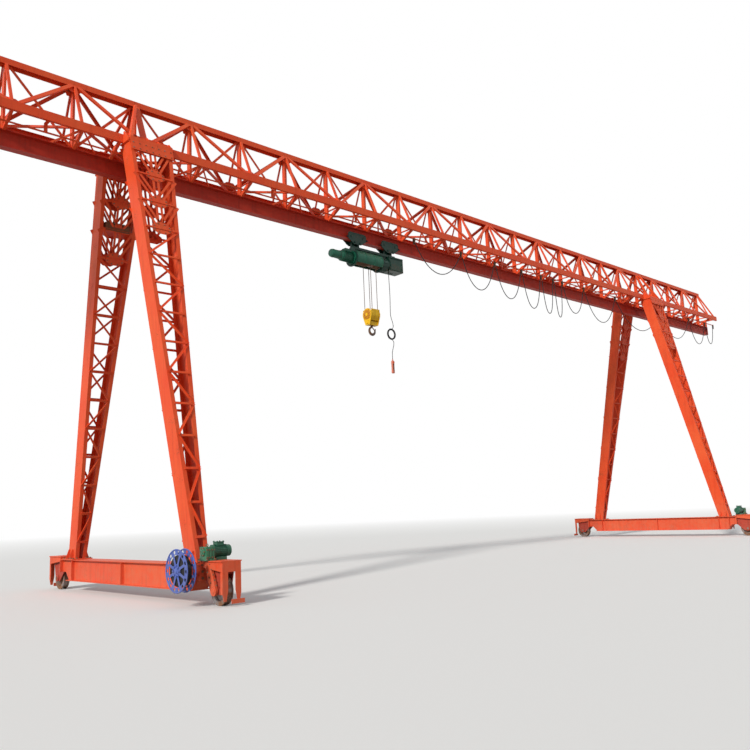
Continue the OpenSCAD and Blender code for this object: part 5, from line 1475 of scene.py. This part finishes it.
yoke = joined([
    box([-0.22, 0, BEAM_LOW], [0.22, 0.02, PLATE_LOW]),
    bars(portal_outline, front_in * Y, YOKE_LEN * Y, Z),
    side, mirrored(side, 0),
    box([-0.22, 0, PLATE_LOW], [0.22, YOKE_LEN, YOKE_TOP]),
    box([-0.06, YOKE_LEN + 0.07, 0.06], [0.22, YOKE_LEN + 0.07 + SKIN, 0.14]),
    box([0.125, YOKE_LEN, 0.1], [0.165, YOKE_LEN + 0.07, 0.13]),
])
yokes = piece("wheel_portals", "frame", RED, [at_corners(moved(yoke, YOKE_AT))])
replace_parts(yokes, "wheel_yokes")
axle_hangers = at_corners(moved(joined(axle_plates), YOKE_AT))
# painted shade: the inner hanger plates get the darker red because they sit in the yoke's shadow
piece("axle_hangers", "frame", SHADED_RED, [axle_hangers], smooth=35)

# %% [markdown]
# ## Floor and light
# A pale floor takes the shadow, and far away it fades into the white of the background. One soft lamp
# stands high at the left, as the sun does in the photograph, and a pale sky fills the shadows. Camera,
# mirror and glass rays see plain white behind the crane, while the rest is lit by the softer sky.

# %% Floor
FLOOR_HALF = 300.0
FADE_FROM, FADE_TO = 24.0, 90.0


def pale_floor():
    """A flat sheet whose colour fades to shadeless white with distance from the crane."""
    made, tree, shader = plain_material("pale_floor")
    end = next(n for n in tree.nodes if n.type == "OUTPUT_MATERIAL")
    shader.inputs["Roughness"].default_value = 0.9
    shader.inputs["Specular IOR Level"].default_value = 0.1
    place = add(tree, "TexCoord").outputs["Object"]
    away = add(tree, "VectorMath", {0: place}, operation="LENGTH").outputs["Value"]
    seen = tree.nodes.new("ShaderNodeLightPath")
    flat_rays = maths(tree, "MAXIMUM", seen.outputs["Is Camera Ray"], seen.outputs["Is Glossy Ray"])
    tone = blended(tree, flat_rays, (0.42, 0.40, 0.37, 1), (0.86, 0.86, 0.85, 1))
    tree.links.new(tone, shader.inputs["Base Color"])
    fade = times(tree, ramp(tree, away, FADE_FROM, FADE_TO), flat_rays)
    white = add(tree, "Emission", {"Color": (1, 1, 1, 1), "Strength": 1.0})
    both = add(tree, "MixShader", {0: fade, 1: shader.outputs[0], 2: white.outputs[0]})
    tree.links.new(both.outputs[0], end.inputs["Surface"])
    return made


corners = FLOOR_HALF * np.array([[-1, -1, 0], [1, -1, 0], [1, 1, 0], [-1, 1, 0]])
floor_mesh = bpy.data.meshes.new("floor")
floor_mesh.from_pydata(corners.tolist(), [], [[0, 1, 2, 3]])
floor_mesh.materials.append(pale_floor())
placed("floor", floor_mesh)

# %% Light
SUN_FROM = np.array([-0.86, -0.24, 0.52])
SUN_STRENGTH = 2.75
SUN_SPREAD = 9
SKY_STRENGTH = 0.42
lamp = bpy.data.lights.new("soft_sun", "SUN")
lamp.energy = SUN_STRENGTH
lamp.angle = np.radians(SUN_SPREAD)
lamp.color = (1.0, 0.97, 0.92)
sun = placed("soft_sun", lamp)
sun.rotation_mode = "QUATERNION"
sun.rotation_quaternion = Vector(SUN_FROM).to_track_quat("Z", "Y")

sky = bpy.data.worlds.new("studio")
sky.use_nodes = True
tree = sky.node_tree
tree.nodes.clear()
seen = tree.nodes.new("ShaderNodeLightPath")
plain_rays = maths(tree, "MAXIMUM", seen.outputs["Is Camera Ray"], seen.outputs["Is Glossy Ray"])
plain_rays = maths(tree, "MAXIMUM", plain_rays, seen.outputs["Is Transmission Ray"])
fill = add(tree, "Background", {"Color": (0.93, 0.96, 1.0, 1), "Strength": SKY_STRENGTH})
white = add(tree, "Background", {"Color": (1, 1, 1, 1), "Strength": 1.0})
both = add(tree, "MixShader", {0: plain_rays, 1: fill.outputs[0], 2: white.outputs[0]})
tree.links.new(both.outputs[0], tree.nodes.new("ShaderNodeOutputWorld").inputs[0])
bpy.context.scene.world = sky
bpy.context.scene.view_settings.view_transform = "Standard"
print("lit: sun", SUN_STRENGTH, "sky", SKY_STRENGTH)
